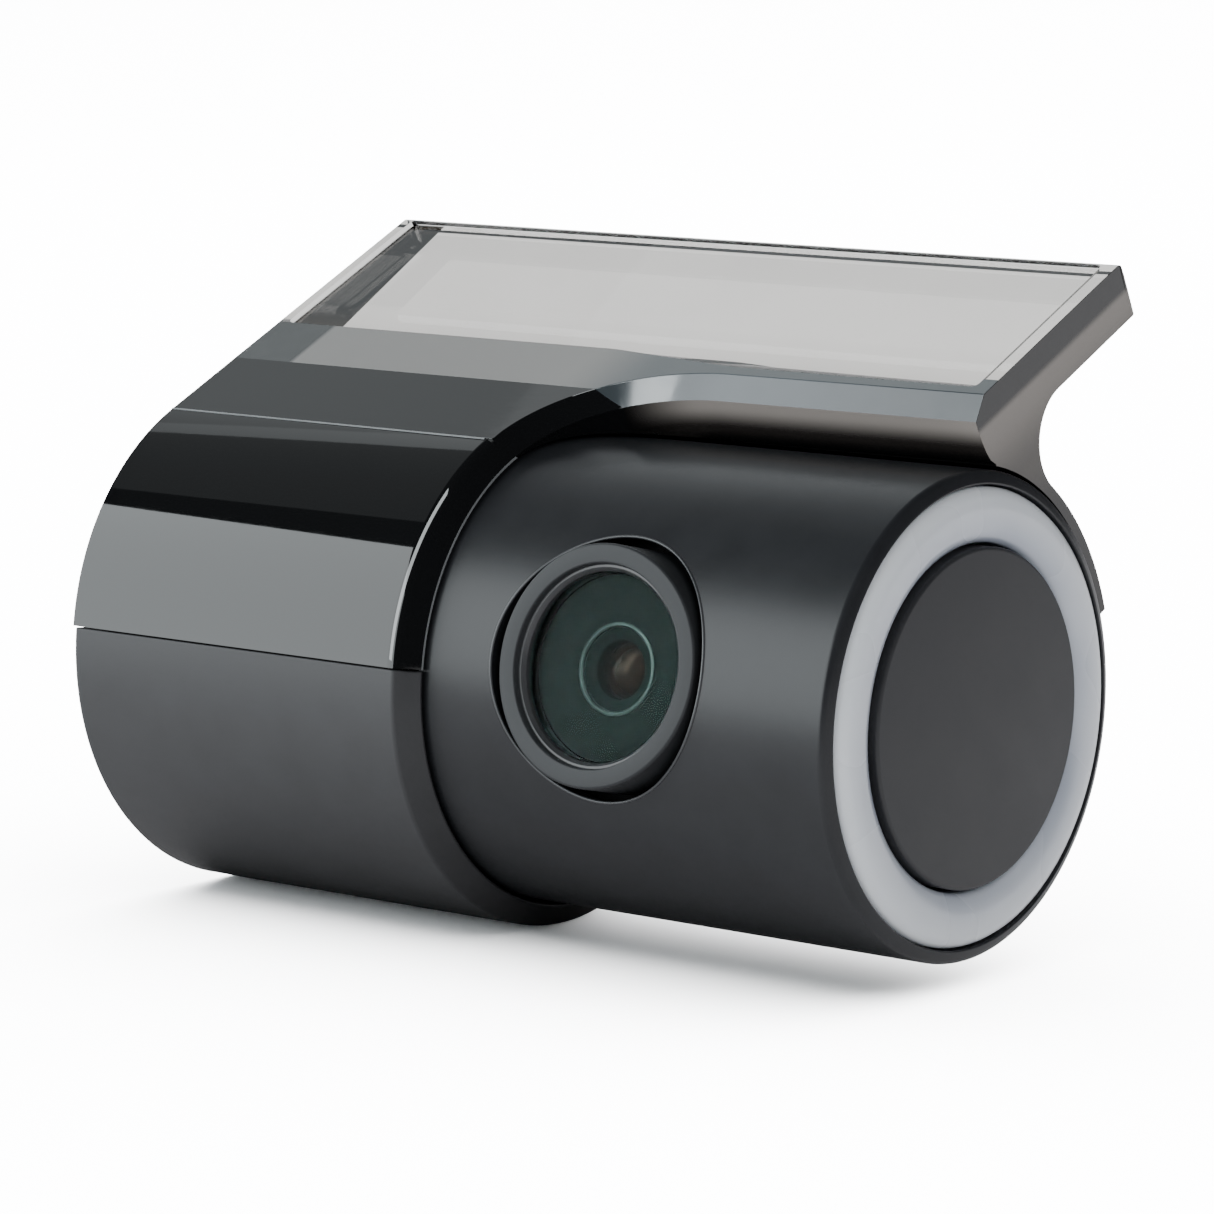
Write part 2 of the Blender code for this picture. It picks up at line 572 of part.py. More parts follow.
def main():
    clear_scene()
    finishes = make_finishes()
    middle_u = (RECESS_U[0] + RECESS_U[1]) / 2
    middle_x = (RECESS_X[0] + RECESS_X[1]) / 2
    seat_y, seat_z = plate_point(middle_u, PLATE_TOP - RECESS_DEPTH)
    axis = empty("barrel_axis", location=(-middle_x, -seat_y, -seat_z))
    camera = empty("camera_frame", axis, rotation=(-radians(LENS_RISE), 0, 0))
    lens = empty("lens_frame", camera, (LENS_X, 0, 0), (0, 0, -pi / 2))
    make_bracket(axis, finishes["smoked_clear"])
    make_lower_cover(axis, finishes["matte_grey"])
    make_friction_rings(axis, finishes["rubber"])
    make_barrel(camera, lens, finishes["satin_black"])
    make_light_end(
        camera,
        finishes["frosted_light"],
        finishes["satin_black"],
        finishes["board"],
        finishes["led_white"],
    )
    make_lens(lens, finishes)
    make_chassis(camera, finishes["satin_black"])
    make_boards(camera, finishes)
    make_heat_sink(camera, finishes["aluminium"])
    make_ports(camera, finishes)
    make_end_cap(camera, finishes)


main()
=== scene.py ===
"""Looks for the dash camera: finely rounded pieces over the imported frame, finishes, light and view.

Shapes are drawn in millimetres in one of three frames, and a matrix carries them to their place:
BARREL has its origin on the tilt axis at the barrel's right-hand edge, CAMERA turns with the lens's
rise, and LENS has +X out of the lens. +Z is up and -Y is the side that the lens looks to.
"""

import json
from math import acos, atan2, cos, degrees, hypot, pi, radians, sin, sqrt, tan

import bmesh
import bpy
from mathutils import Matrix, Vector


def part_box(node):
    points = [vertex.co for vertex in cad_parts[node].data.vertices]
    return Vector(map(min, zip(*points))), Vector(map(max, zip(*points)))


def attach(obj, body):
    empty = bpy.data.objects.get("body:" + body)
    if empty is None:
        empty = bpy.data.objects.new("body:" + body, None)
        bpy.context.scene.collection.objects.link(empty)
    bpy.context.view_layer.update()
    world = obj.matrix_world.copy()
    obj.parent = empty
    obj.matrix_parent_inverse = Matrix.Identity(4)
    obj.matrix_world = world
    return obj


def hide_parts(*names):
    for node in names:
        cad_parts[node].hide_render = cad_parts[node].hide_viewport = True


MM = 0.001

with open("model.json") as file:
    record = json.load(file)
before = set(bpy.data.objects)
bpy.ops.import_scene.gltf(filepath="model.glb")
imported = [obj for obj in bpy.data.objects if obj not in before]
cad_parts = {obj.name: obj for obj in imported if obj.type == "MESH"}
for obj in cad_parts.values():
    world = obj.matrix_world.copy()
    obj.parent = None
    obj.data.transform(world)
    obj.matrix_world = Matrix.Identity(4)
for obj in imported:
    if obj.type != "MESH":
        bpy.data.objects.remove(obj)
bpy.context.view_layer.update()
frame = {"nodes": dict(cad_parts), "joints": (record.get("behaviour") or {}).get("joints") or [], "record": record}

JOINTS = {joint["name"]: joint for joint in frame["joints"]}
PIVOT = Vector(JOINTS["barrel_tilt"]["pos_m"])


def middle(node):
    low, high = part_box(node)
    return (low + high) / 2


# The lens holder is a block centred on the lens's axis, so its middle gives the lens's rise.
HOLDER = middle("lens_holder") - PIVOT
RISE = atan2(HOLDER.z, -HOLDER.y)
BARREL = Matrix.Translation(PIVOT)
CAMERA = BARREL @ Matrix.Rotation(-RISE, 4, "X")
LENS = CAMERA @ Matrix.Translation((HOLDER.x, 0, 0)) @ Matrix.Rotation(-pi / 2, 4, "Z")

# Driving dimensions, in millimetres, as in the CAD part. X is measured from the barrel's right-hand
# edge. U runs up the plate and V out of it, both from the barrel's axis.
BARREL_R = 18.0
SLEEVE_R = 20.15
BORE_R = 18.3
SADDLE_R = 19.26
SLEEVE_LEFT = -70.7
SLEEVE_RIGHT = -37.75
SLEEVE_LIP = -36.4
LIP_R = 18.5
BRACKET_RIGHT = -0.5
SEAM_ANGLE = 6.5
PLATE_SLOPE = 25.2
PLATE_TOP = SLEEVE_R
PLATE_UNDER = 15.7
PLATE_BACK = 31.5
PLAN_CORNER_R = 1.0
NECK_FILLET_R = 4.2
SADDLE_TIP_ANGLE = 16.7
RECESS_DEPTH = 0.4
RECESS_FRONT = 13.9
PAINT_U = 8.1
RIDGE = (0.11, 0.06)
RIM_ROUND = 0.7
SWEEP_ROUND = 0.18
END_ROUND = 0.25
SWEEP_CENTRE_X = -23.4
SWEEP_LENGTH = SWEEP_CENTRE_X - SLEEVE_RIGHT
SWEEP_DEPTH = 11.7
NOSE_TIP = (10.0, 18.8)  # (u, v)
LENS_HOLE_R = 9.7
WALL_BORE_R = 16.2
NECK_R = 17.0
NECK_BORE_R = 15.4
BARREL_STEP = -37.2
BARREL_LEFT = -69.0
END_CAP_FACE = -70.2
VENT_X = -29.0
VENT_ANGLE = 215
SPEAKER_X = -13.4
SLOT_PITCH = 2.6
LIGHT_INNER_R = 12.75
LIGHT_OUTER_R = 16.8
TRIM_INNER_R = 7.36
TRIM_OUTER_R = 8.94
VIDEO_PLACE = (2.2, -3.9)  # (y, z) on the end cap, like the next two
BUTTON_PLACE = (2.8, -9.7)
MICROPHONE_PLACE = (-2.6, -8.6)
SCREW_Y = -8.6
SCREW_HEIGHTS = (7.5, -7.5)

# What only the looks need, in millimetres too.
SLEEVE_STEPS = 58  # the sleeve's outline and its rim share these, so that their corners meet
SHADE_LINE = ((-66.5, 30.9), (-64.4, 13.9))  # (x, u) of the edge of the painted shade strip in the recess
EDGE_TOP = PLATE_BACK - 0.13
EDGE_UNDER = PLATE_BACK + 0.69
PLAN_BACK = PLATE_BACK + 0.57
FAR_FRONT = -28.0  # cutters end outside the object, at this u and this x
FAR_RIGHT = 8.0


# Materials -----------------------------------------------------------------------------------


def new_material(name):
    material = bpy.data.materials.new(name)
    material.use_nodes = True
    return material, material.node_tree, material.node_tree.nodes["Principled BSDF"]


def noise(tree, scale, detail=2.0, stretch=(1, 1, 1)):
    """Noise in the piece's own coordinates, which are metres: a scale of 1000 is about 1 mm."""
    coordinates = tree.nodes.new("ShaderNodeTexCoord")
    mapping = tree.nodes.new("ShaderNodeMapping")
    mapping.inputs["Scale"].default_value = stretch
    texture = tree.nodes.new("ShaderNodeTexNoise")
    texture.inputs["Scale"].default_value = scale
    texture.inputs["Detail"].default_value = detail
    tree.links.new(coordinates.outputs["Object"], mapping.inputs["Vector"])
    tree.links.new(mapping.outputs["Vector"], texture.inputs["Vector"])
    return texture.outputs["Fac"]


def spread(tree, factor, low, high):
    """Maps a noise's middle range to low..high."""
    node = tree.nodes.new("ShaderNodeMapRange")
    node.inputs["From Min"].default_value = 0.3
    node.inputs["From Max"].default_value = 0.7
    node.inputs["To Min"].default_value = low
    node.inputs["To Max"].default_value = high
    tree.links.new(factor, node.inputs["Value"])
    return node.outputs["Result"]


def blend_colours(tree, factor, first, second):
    node = tree.nodes.new("ShaderNodeMix")
    node.data_type = "RGBA"
    tree.links.new(factor, node.inputs["Factor"])
    node.inputs["A"].default_value = (*first, 1)
    node.inputs["B"].default_value = (*second, 1)
    return node.outputs["Result"]


def bump(tree, shader, factor, strength, depth):
    """Adds a bump of a real depth in millimetres, on top of any the shader has."""
    node = tree.nodes.new("ShaderNodeBump")
    node.inputs["Strength"].default_value = strength
    node.inputs["Distance"].default_value = depth * MM
    tree.links.new(factor, node.inputs["Height"])
    links = shader.inputs["Normal"].links
    if links:
        tree.links.new(links[0].from_socket, node.inputs["Normal"])
    tree.links.new(node.outputs["Normal"], shader.inputs["Normal"])


def moulded(name, colour, roughness, grain=9000, depth=0.006, spread_by=0.06,
            stretch=(1, 1, 1), **sockets):
    """Moulded plastic or worked metal: a fine grain, drifting gloss and a slight mottle."""
    material, tree, shader = new_material(name)
    for socket, value in sockets.items():
        shader.inputs[socket.replace("_", " ")].default_value = value
    fine = noise(tree, grain, 3.0, stretch)
    broad = noise(tree, 260, 4.0)
    mottle = 0.12
    darker = [channel * (1 - mottle) for channel in colour]
    lighter = [channel * (1 + mottle) for channel in colour]
    tint = blend_colours(tree, spread(tree, broad, 0, 1), darker, lighter)
    tree.links.new(tint, shader.inputs["Base Color"])
    gloss = spread(tree, broad, roughness - spread_by / 2, roughness + spread_by / 2)
    tree.links.new(gloss, shader.inputs["Roughness"])
    bump(tree, shader, fine, 0.5, depth)
    return material


def piano_black():
    """The paint on the bracket: deep gloss with a faint orange peel and hairline wear."""
    material, tree, shader = new_material("piano_black_paint")
    shader.inputs["Base Color"].default_value = (0.0025, 0.0027, 0.003, 1)
    shader.inputs["IOR"].default_value = 1.5
    wear = noise(tree, 900, 6.0, (1, 6, 6))
    tree.links.new(spread(tree, wear, 0.02, 0.05), shader.inputs["Roughness"])
    bump(tree, shader, noise(tree, 450, 1.0), 0.25, 0.004)
    return material


def smoked_clear(name, tint_low, tint_high):
    """The bracket's clear plastic: a tint colours its surface and smoke darkens its depth."""
    material, tree, shader = new_material(name)
    shader.inputs["Transmission Weight"].default_value = 1.0
    shader.inputs["IOR"].default_value = 1.49
    faint = noise(tree, 120, 3.0)
    tint = blend_colours(tree, spread(tree, faint, 0, 1), [tint_low] * 3, [tint_high] * 3)
    tree.links.new(tint, shader.inputs["Base Color"])
    tree.links.new(spread(tree, noise(tree, 800, 5.0), 0.0, 0.02), shader.inputs["Roughness"])
    smoke = tree.nodes.new("ShaderNodeVolumeAbsorption")
    smoke.inputs["Color"].default_value = (0.12, 0.07, 0.0, 1)
    smoke.inputs["Density"].default_value = 55.0
    tree.links.new(smoke.outputs["Volume"], tree.nodes["Material Output"].inputs["Volume"])
    return material


def buried_paint():
    """Paint seen through the plastic: the two touch, so nothing shines between them."""
    material, tree, shader = new_material("buried_paint")
    shader.inputs["Specular IOR Level"].default_value = 0.0
    shader.inputs["Roughness"].default_value = 1.0
    tint = blend_colours(tree, noise(tree, 900, 4.0), [0.003] * 3, [0.0036] * 3)
    tree.links.new(tint, shader.inputs["Base Color"])
    return material


def along(tree, axis, low, high):
    """0 to 1 as a point's distance along an axis goes from low to high, in millimetres."""
    coordinates = tree.nodes.new("ShaderNodeTexCoord")
    distance = tree.nodes.new("ShaderNodeVectorMath")
    distance.operation = "DOT_PRODUCT"
    distance.inputs[1].default_value = axis
    ramp = tree.nodes.new("ShaderNodeMapRange")
    ramp.interpolation_type = "SMOOTHSTEP"
    ramp.inputs["From Min"].default_value = low * MM
    ramp.inputs["From Max"].default_value = high * MM
    tree.links.new(coordinates.outputs["Object"], distance.inputs[0])
    tree.links.new(distance.outputs["Value"], ramp.inputs["Value"])
    return ramp.outputs["Result"]


def painted_light_grade(name, axis, *stops, painted_shade_fade=None):
    """Glossy smoked plastic, opaque here, whose colour paints the light and shade seen in and through it. Its
    colour goes from stop to stop, and each stop is a distance along the axis and a colour. An optional last
    argument (low, high) takes it from black at low to its colour at high along X, as painted shade."""
    material, tree, shader = new_material(name)
    (low, colour), *later = stops
    tint = None
    for high, following in later:
        step = blend_colours(tree, along(tree, axis, low, high), colour, following)
        if tint:
            tree.links.new(tint, step.node.inputs["A"])
        tint = step
        low, colour = high, following
    if painted_shade_fade:
        lit = blend_colours(tree, along(tree, ALONG_BARREL, *painted_shade_fade), [0.002] * 3, (0, 0, 0))
        tree.links.new(tint, lit.node.inputs["B"])
        tint = lit
    tree.links.new(tint, shader.inputs["Base Color"])
    gloss = spread(tree, noise(tree, 700, 4.0), 0.084, 0.156)
    tree.links.new(gloss, shader.inputs["Roughness"])
    bump(tree, shader, noise(tree, 500, 1.0), 0.2, 0.003)
    return material


def frosted_light():
    """The light guide: a milky plastic, cloudy in places and brighter towards its outer edge."""
    material, tree, shader = new_material("frosted_light_guide")
    cloud = noise(tree, 130, 1.0)
    coordinates = tree.nodes.new("ShaderNodeTexCoord")
    flat = tree.nodes.new("ShaderNodeVectorMath")
    flat.operation = "MULTIPLY"
    flat.inputs[1].default_value = (0, 1, 1)
    radius = tree.nodes.new("ShaderNodeVectorMath")
    radius.operation = "LENGTH"
    outward = tree.nodes.new("ShaderNodeMapRange")
    outward.interpolation_type = "SMOOTHSTEP"
    outward.inputs["From Min"].default_value = LIGHT_INNER_R * MM
    outward.inputs["From Max"].default_value = (LIGHT_OUTER_R - 0.2) * MM
    tree.links.new(coordinates.outputs["Object"], flat.inputs[0])
    tree.links.new(flat.outputs["Vector"], radius.inputs[0])
    tree.links.new(radius.outputs["Value"], outward.inputs["Value"])
    cloudy = spread(tree, cloud, 0, 1)
    inner = blend_colours(tree, cloudy, (0.32, 0.35, 0.41), (0.43, 0.46, 0.51))
    tint = blend_colours(tree, outward.outputs["Result"], (0, 0, 0), (0.60, 0.63, 0.66))
    tree.links.new(inner, tint.node.inputs["A"])
    tree.links.new(tint, shader.inputs["Base Color"])
    shader.inputs["Subsurface Weight"].default_value = 0.5
    shader.inputs["Subsurface Radius"].default_value = (1.0, 1.0, 1.1)
    shader.inputs["Subsurface Scale"].default_value = 0.0012
    shader.inputs["Coat Weight"].default_value = 0.35
    shader.inputs["Coat Roughness"].default_value = 0.12
    tree.links.new(spread(tree, cloud, 0.22, 0.34), shader.inputs["Roughness"])
    bump(tree, shader, noise(tree, 300, 1.0), 0.15, 0.03)
    return material


def coated_glass(name, tint, ior):
    """Lens glass. A low index of refraction stands for its anti-reflection coating."""
    material, tree, shader = new_material(name)
    shader.inputs["Base Color"].default_value = (*tint, 1)
    shader.inputs["Transmission Weight"].default_value = 1.0
    shader.inputs["IOR"].default_value = ior
    tree.links.new(spread(tree, noise(tree, 500, 4.0), 0.0, 0.015), shader.inputs["Roughness"])
    return material


def warm_glass():
    """The second element, nearly black, with the reddish sheen of its coating."""
    material, tree, shader = new_material("second_element_glass")
    cloudy = spread(tree, noise(tree, 700, 2.0), 0, 1)
    tint = blend_colours(tree, cloudy, (0.004, 0.002, 0.0015), (0.012, 0.005, 0.004))
    tree.links.new(tint, shader.inputs["Base Color"])
    tree.links.new(spread(tree, noise(tree, 500, 4.0), 0.02, 0.05), shader.inputs["Roughness"])
    shader.inputs["Specular IOR Level"].default_value = 0.11
    shader.inputs["Specular Tint"].default_value = (1.0, 0.54, 0.42, 1)
    return material


ALONG_BARREL = (1, 0, 0)
UP_PLATE = (0, -sin(radians(PLATE_SLOPE)), cos(radians(PLATE_SLOPE)))  # out of the plate's face

# The bracket's one mesh carries these, face by face.
PAINT = piano_black()
SMOKED = smoked_clear("smoked_clear_plastic", 0.95, 1.0)
BURIED = buried_paint()
# Painted shade: a darker tint on a strip of the recess floor stands in for the shade that refraction gives there.
PAINTED_SHADE_PLASTIC = smoked_clear("painted_shade_plastic", 0.56, 0.62)
# Painted reflection: the slanted band's colour, lightest near x = -24, stands in for the light it mirrors.
BAND_PAINTED_REFLECTION = painted_light_grade("slanted_band_painted_reflection", ALONG_BARREL, (-34, (0.03, 0.037, 0.041)),
              (-24, (0.068, 0.079, 0.088)), (0, (0.034, 0.041, 0.047)))
# Painted light and shade: the nose's front is opaque, brownish near its top as if lit through the neck, and black
# towards its bottom and its left end.
NOSE_PAINTED_LIGHT_SHADE = painted_light_grade("nose_front_painted_light", UP_PLATE, (15.0, (0.002, 0.002, 0.002)),
                    (16.4, (0.014, 0.012, 0.011)), (18.3, (0.21, 0.19, 0.175)),
                    painted_shade_fade=(-31.8, -25.5))
# Painted light and shade: the opaque right-hand end is dark at its bottom and top and brownish between, as light
# seen through clear plastic would be.
END_FACE_PAINTED_LIGHT = painted_light_grade("end_face_painted_light", UP_PLATE, (8.0, (0.012, 0.011, 0.01)),
                  (12.5, (0.05, 0.044, 0.038)), (17.6, (0.16, 0.145, 0.13)),
                  (18.3, (0.01, 0.01, 0.01)))
# Painted highlight: a light grey on the crease's ridge and on the lip's face, in place of the light they catch.
CREASE_PAINTED_HIGHLIGHT = moulded("crease_painted_highlight", (0.16, 0.17, 0.175), 0.35, grain=4000, depth=0.004)
# Painted light and shade: the margin before the recess is light grey where light reflects inside the clear
# plastic, dark at its left end and darker towards its right.
MARGIN_PAINTED_LIGHT_SHADE = painted_light_grade("margin_painted_light_and_shade", ALONG_BARREL, (-65.0, (0.042, 0.046, 0.047)),
                (-64.4, (0.2, 0.197, 0.19)), (-38, (0.2, 0.197, 0.19)), (-30, (0.09, 0.1, 0.105)))
# Painted shade: a dark grey on the back edge and the left end's rim, for the dark edges that the clear plastic
# shows.
RIM_PAINTED_SHADE = moulded("rim_painted_shade", (0.030, 0.030, 0.031), 0.12, grain=4000, depth=0.003)
BRACKET_FINISHES = [SMOKED, PAINT, BURIED, CREASE_PAINTED_HIGHLIGHT, BAND_PAINTED_REFLECTION, NOSE_PAINTED_LIGHT_SHADE, END_FACE_PAINTED_LIGHT, PAINTED_SHADE_PLASTIC, MARGIN_PAINTED_LIGHT_SHADE,
                    RIM_PAINTED_SHADE]

MATTE = moulded("matte_cover", (0.022, 0.0225, 0.0245), 0.56, grain=14000, depth=0.012)
SATIN = moulded("satin_barrel", (0.0118, 0.0126, 0.0145), 0.33, grain=16000, spread_by=0.02,
                Specular_IOR_Level=0.34)
DISC = moulded("charcoal_disc", (0.018, 0.0187, 0.0208), 0.5, grain=20000)
TRIM = moulded("trim_ring_grey", (0.021, 0.0225, 0.0245), 0.4, grain=16000, depth=0.004,
               Specular_IOR_Level=0.2)
INNER_BLACK = moulded("inner_black", (0.003, 0.003, 0.0034), 0.6, Specular_IOR_Level=0.12)
THREAD_BLACK = moulded("lens_cell_black", (0.03, 0.031, 0.033), 0.34)
# Partly painted highlight: the hole's edge is a real rounding, and its grey, lighter than the barrel's, paints
# part of its highlight.
HOLE_EDGE_PAINTED_HIGHLIGHT = moulded("hole_edge_painted_highlight", (0.035, 0.037, 0.04), 0.3, grain=16000, depth=0.003)
PUPIL_LIP = moulded("pupil_lip_grey", (0.022, 0.028, 0.027), 0.34)
BAFFLE = moulded("baffle_teal_black", (0.0020, 0.0044, 0.0042), 0.6, grain=20000,
                 Specular_IOR_Level=0.04)
FROSTED = frosted_light()
FRONT_GLASS = coated_glass("front_element_glass", (0.72, 0.88, 0.85), 1.09)
PUPIL_GLASS = warm_glass()
GREY_PLASTIC = moulded("cap_plastic", (0.030, 0.030, 0.033), 0.5, grain=12000, depth=0.014)
STEEL = moulded("plated_steel", (0.50, 0.50, 0.49), 0.30, grain=3000, depth=0.002,
                stretch=(1, 8, 8), Metallic=1.0)

# The finish of each slot that a CAD node keeps when no finer piece replaces it.
NODE_FINISHES = {
    "board": moulded("board_green", (0.012, 0.085, 0.035), 0.38, grain=2500, depth=0.02),
    "chip": moulded("chip_epoxy", (0.02, 0.02, 0.021), 0.48),
    "led_white": moulded("ceramic_white", (0.70, 0.70, 0.64), 0.4),
    "thermal_grey": moulded("thermal_pad_grey", (0.24, 0.29, 0.36), 0.8, grain=5000, depth=0.03),
    "steel": STEEL,
    "aluminium": moulded("anodised_aluminium", (0.62, 0.62, 0.63), 0.36, stretch=(1, 10, 10),
                         Metallic=1.0),
    "rubber": moulded("rubber_black", (0.018, 0.018, 0.018), 0.75, grain=5000, depth=0.02),
    "satin_black": INNER_BLACK,
    "lens_glass": coated_glass("inner_glass", (0.7, 0.85, 0.8), 1.3),
}


# Mesh helpers --------------------------------------------------------------------------------


def polar(radius, angle, centre=(0.0, 0.0)):
    return (centre[0] + radius * cos(radians(angle)), centre[1] + radius * sin(radians(angle)))


def arc(centre, radius, start, end, steps):
    """Points on an arc, angles in degrees, both ends included."""
    return [polar(radius, start + (end - start) * i / steps, centre) for i in range(steps + 1)]


def rounded(corners, steps=5, closed=True):
    """An outline from (x, y) points and (x, y, radius) corners, which become arcs."""
    outline = []
    count = len(corners)
    for i, corner in enumerate(corners):
        here = Vector(corner[:2])
        if len(corner) == 2 or (not closed and i in (0, count - 1)):
            outline.append(tuple(here))
            continue
        back = (Vector(corners[i - 1][:2]) - here).normalized()
        on = (Vector(corners[(i + 1) % count][:2]) - here).normalized()
        half = back.angle(on) / 2
        reach = corner[2] / tan(half)
        centre = here + (back + on).normalized() * corner[2] / sin(half)
        first = here + back * reach - centre
        last = here + on * reach - centre
        turn = first.angle(last)
        for k in range(steps + 1):
            share = k / steps
            spoke = (first * sin((1 - share) * turn) + last * sin(share * turn)) / sin(turn)
            outline.append(tuple(centre + spoke))
    return outline


def skin(loops, capped=True):
    """Skins equal loops of points: capped with a face at each end, or else as a closed chain."""
    bm = bmesh.new()
    rows = [[bm.verts.new(point) for point in loop] for loop in loops]
    pairs = list(zip(rows, rows[1:]))
    if not capped:
        pairs.append((rows[-1], rows[0]))
    for row, following in pairs:
        for i in range(len(row)):
            j = (i + 1) % len(row)
            bm.faces.new((row[i], row[j], following[j], following[i]))
    if capped:
        bm.faces.new(rows[0])
        bm.faces.new(list(reversed(rows[-1])))
    return bm


def prism(outline, low_x, high_x):
    """An outline of (y, z) points, extruded along X."""
    return skin([[(x, y, z) for y, z in outline] for x in (low_x, high_x)])


def turned(profile, steps=128, start=0.0, end=360.0):
    """A profile of (x, radius) points turned about X. It closes unless it ends on the axis."""
    full = end - start >= 360.0
    touching = profile[0][1] == 0.0
    bm = bmesh.new()
    rows = []
    for i in range(steps if full else steps + 1):
        turn = radians(start + (end - start) * i / steps)
        rows.append([bm.verts.new((x, r * cos(turn), r * sin(turn))) for x, r in profile])
    pairs = list(zip(rows, rows[1:]))
    if full:
        pairs.append((rows[-1], rows[0]))
    for row, following in pairs:
        for i in range(len(profile) - 1 if touching else len(profile)):
            j = (i + 1) % len(profile)
            corners = [row[i], row[j], following[j], following[i]]
            if profile[i][1] == 0.0:
                corners.pop()
            if profile[j][1] == 0.0:
                corners.pop(1)
            bm.faces.new(corners)
    if not full:
        bm.faces.new(rows[0])
        bm.faces.new(list(reversed(rows[-1])))
    return bm


def block(low, high):
    (x0, y0, z0), (x1, y1, z1) = low, high
    return prism([(y0, z0), (y1, z0), (y1, z1), (y0, z1)], x0, x1)


def rod(radius, low_x, high_x, steps=48):
    return turned([(low_x, 0.0), (low_x, radius), (high_x, radius), (high_x, 0.0)], steps)


def as_object(name, bm, matrix):
    """An object at the matrix's place. The turn goes into the mesh, so that its box is tight."""
    bmesh.ops.remove_doubles(bm, verts=bm.verts, dist=1e-4)
    bmesh.ops.recalc_face_normals(bm, faces=bm.faces)
    mesh = bpy.data.meshes.new(name)
    bm.to_mesh(mesh)
    bm.free()
    mesh.transform(matrix.to_3x3().to_4x4() @ Matrix.Scale(MM, 4))
    obj = bpy.data.objects.new(name, mesh)
    bpy.context.scene.collection.objects.link(obj)
    obj.matrix_world = Matrix.Translation(matrix.translation)
    return obj


def apply_modifiers(obj):
    """Replaces the object's mesh with what its modifiers make of it."""
    bpy.context.view_layer.update()
    graph = bpy.context.evaluated_depsgraph_get()
    mesh = bpy.data.meshes.new_from_object(obj.evaluated_get(graph))
    obj.modifiers.clear()
    obj.data = mesh
    return obj


def combine(obj, operation, others, meets_itself=False):
    """Applies one Boolean after another and removes the cutters."""
    for other in others:
        modifier = obj.modifiers.new(operation, "BOOLEAN")
        modifier.operation = operation
        modifier.solver = "EXACT"
        modifier.use_self = meets_itself
        modifier.object = other
    apply_modifiers(obj)
    for other in others:
        bpy.data.objects.remove(other)
    return obj


def shade(obj, angle=30):
    obj.data.shade_smooth()
    obj.data.set_sharp_from_angle(angle=radians(angle))


def soften(obj, width, segments=3, angle=35):
    """Rounds the sharp edges and keeps the flats flat."""
    bevel = obj.modifiers.new("edges", "BEVEL")
    bevel.width = width * MM
    bevel.segments = segments
    bevel.limit_method = "ANGLE"
    bevel.angle_limit = radians(angle)
    bevel.use_clamp_overlap = True
    bevel.miter_outer = "MITER_ARC"
    weights = obj.modifiers.new("normals", "WEIGHTED_NORMAL")
    weights.keep_sharp = True


def dress(obj, body, material, stands_for=()):
    """Gives a finished piece its material and body, and hides the CAD nodes that it replaces."""
    if not obj.data.materials:
        obj.data.materials.append(material)
    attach(obj, body)
    if stands_for:
        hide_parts(*stands_for)
    return obj


def piece(name, bm, matrix, body, material, stands_for=(), angle=30):
    obj = as_object(name, bm, matrix)
    shade(obj, angle)
    return dress(obj, body, material, stands_for)


# The bracket ---------------------------------------------------------------------------------


def plate_point(u, v):
    """A point of the plate's turned frame, as (y, z): u runs up the plate and v out of it."""
    slope = radians(PLATE_SLOPE)
    return (u * cos(slope) - v * sin(slope), u * sin(slope) + v * cos(slope))


def neck_fillet(shell_r):
    """The fillet under the plate, tangent to the saddle: its centre and where it meets a shell."""
    height = PLATE_UNDER - NECK_FILLET_R
    reach = SADDLE_R + NECK_FILLET_R
    along = sqrt(reach**2 - height**2)
    opening = (reach**2 + shell_r**2 - NECK_FILLET_R**2) / (2 * reach * shell_r)
    meeting = atan2(height, along) + acos(min(1.0, opening))
    end = atan2(shell_r * sin(meeting) - height, shell_r * cos(meeting) - along)
    return (along, height), degrees(meeting), degrees(end) % 360


def plate_and_neck(shell_r, front_u, shell_end):
    """The outline from the plate's front over its back edge to the end of the shell."""
    centre, meeting, fillet_end = neck_fillet(shell_r)
    edge = [(front_u, PLATE_TOP), (EDGE_TOP, PLATE_TOP, 0.6)]
    edge += [(EDGE_UNDER, PLATE_UNDER, 0.45), (centre[0], PLATE_UNDER)]
    outline = rounded(edge, 8, closed=False)[:-1]
    outline += arc(centre, NECK_FILLET_R, 90, fillet_end, 28)
    outline += arc((0, 0), shell_r, meeting, shell_end, 16)[1:]
    return outline


def sleeve_outline():
    """The sleeve's upper half with the plate and the ridge on its crease, as (y, z) points."""
    back = SEAM_ANGLE - PLATE_SLOPE
    front = 180 - SEAM_ANGLE - PLATE_SLOPE
    half, high = RIDGE
    outline = plate_and_neck(SLEEVE_R, half, back)
    outline += arc((0, 0), BORE_R, back, front, 128)
    outline += arc((0, 0), SLEEVE_R, front, 90, SLEEVE_STEPS)[:-1]
    outline += [(-half, PLATE_TOP), (0.0, PLATE_TOP + high)]
    return [plate_point(u, v) for u, v in outline]


def saddle_outline():
    """The plate with the shorter shell over the barrel, right of the sleeve."""
    tip = SADDLE_TIP_ANGLE - PLATE_SLOPE
    outline = plate_and_neck(SADDLE_R, 0.0, tip + 0.6)
    outline += arc((0, 0), BORE_R, tip, 90, 64)
    return [plate_point(u, v) for u, v in outline]


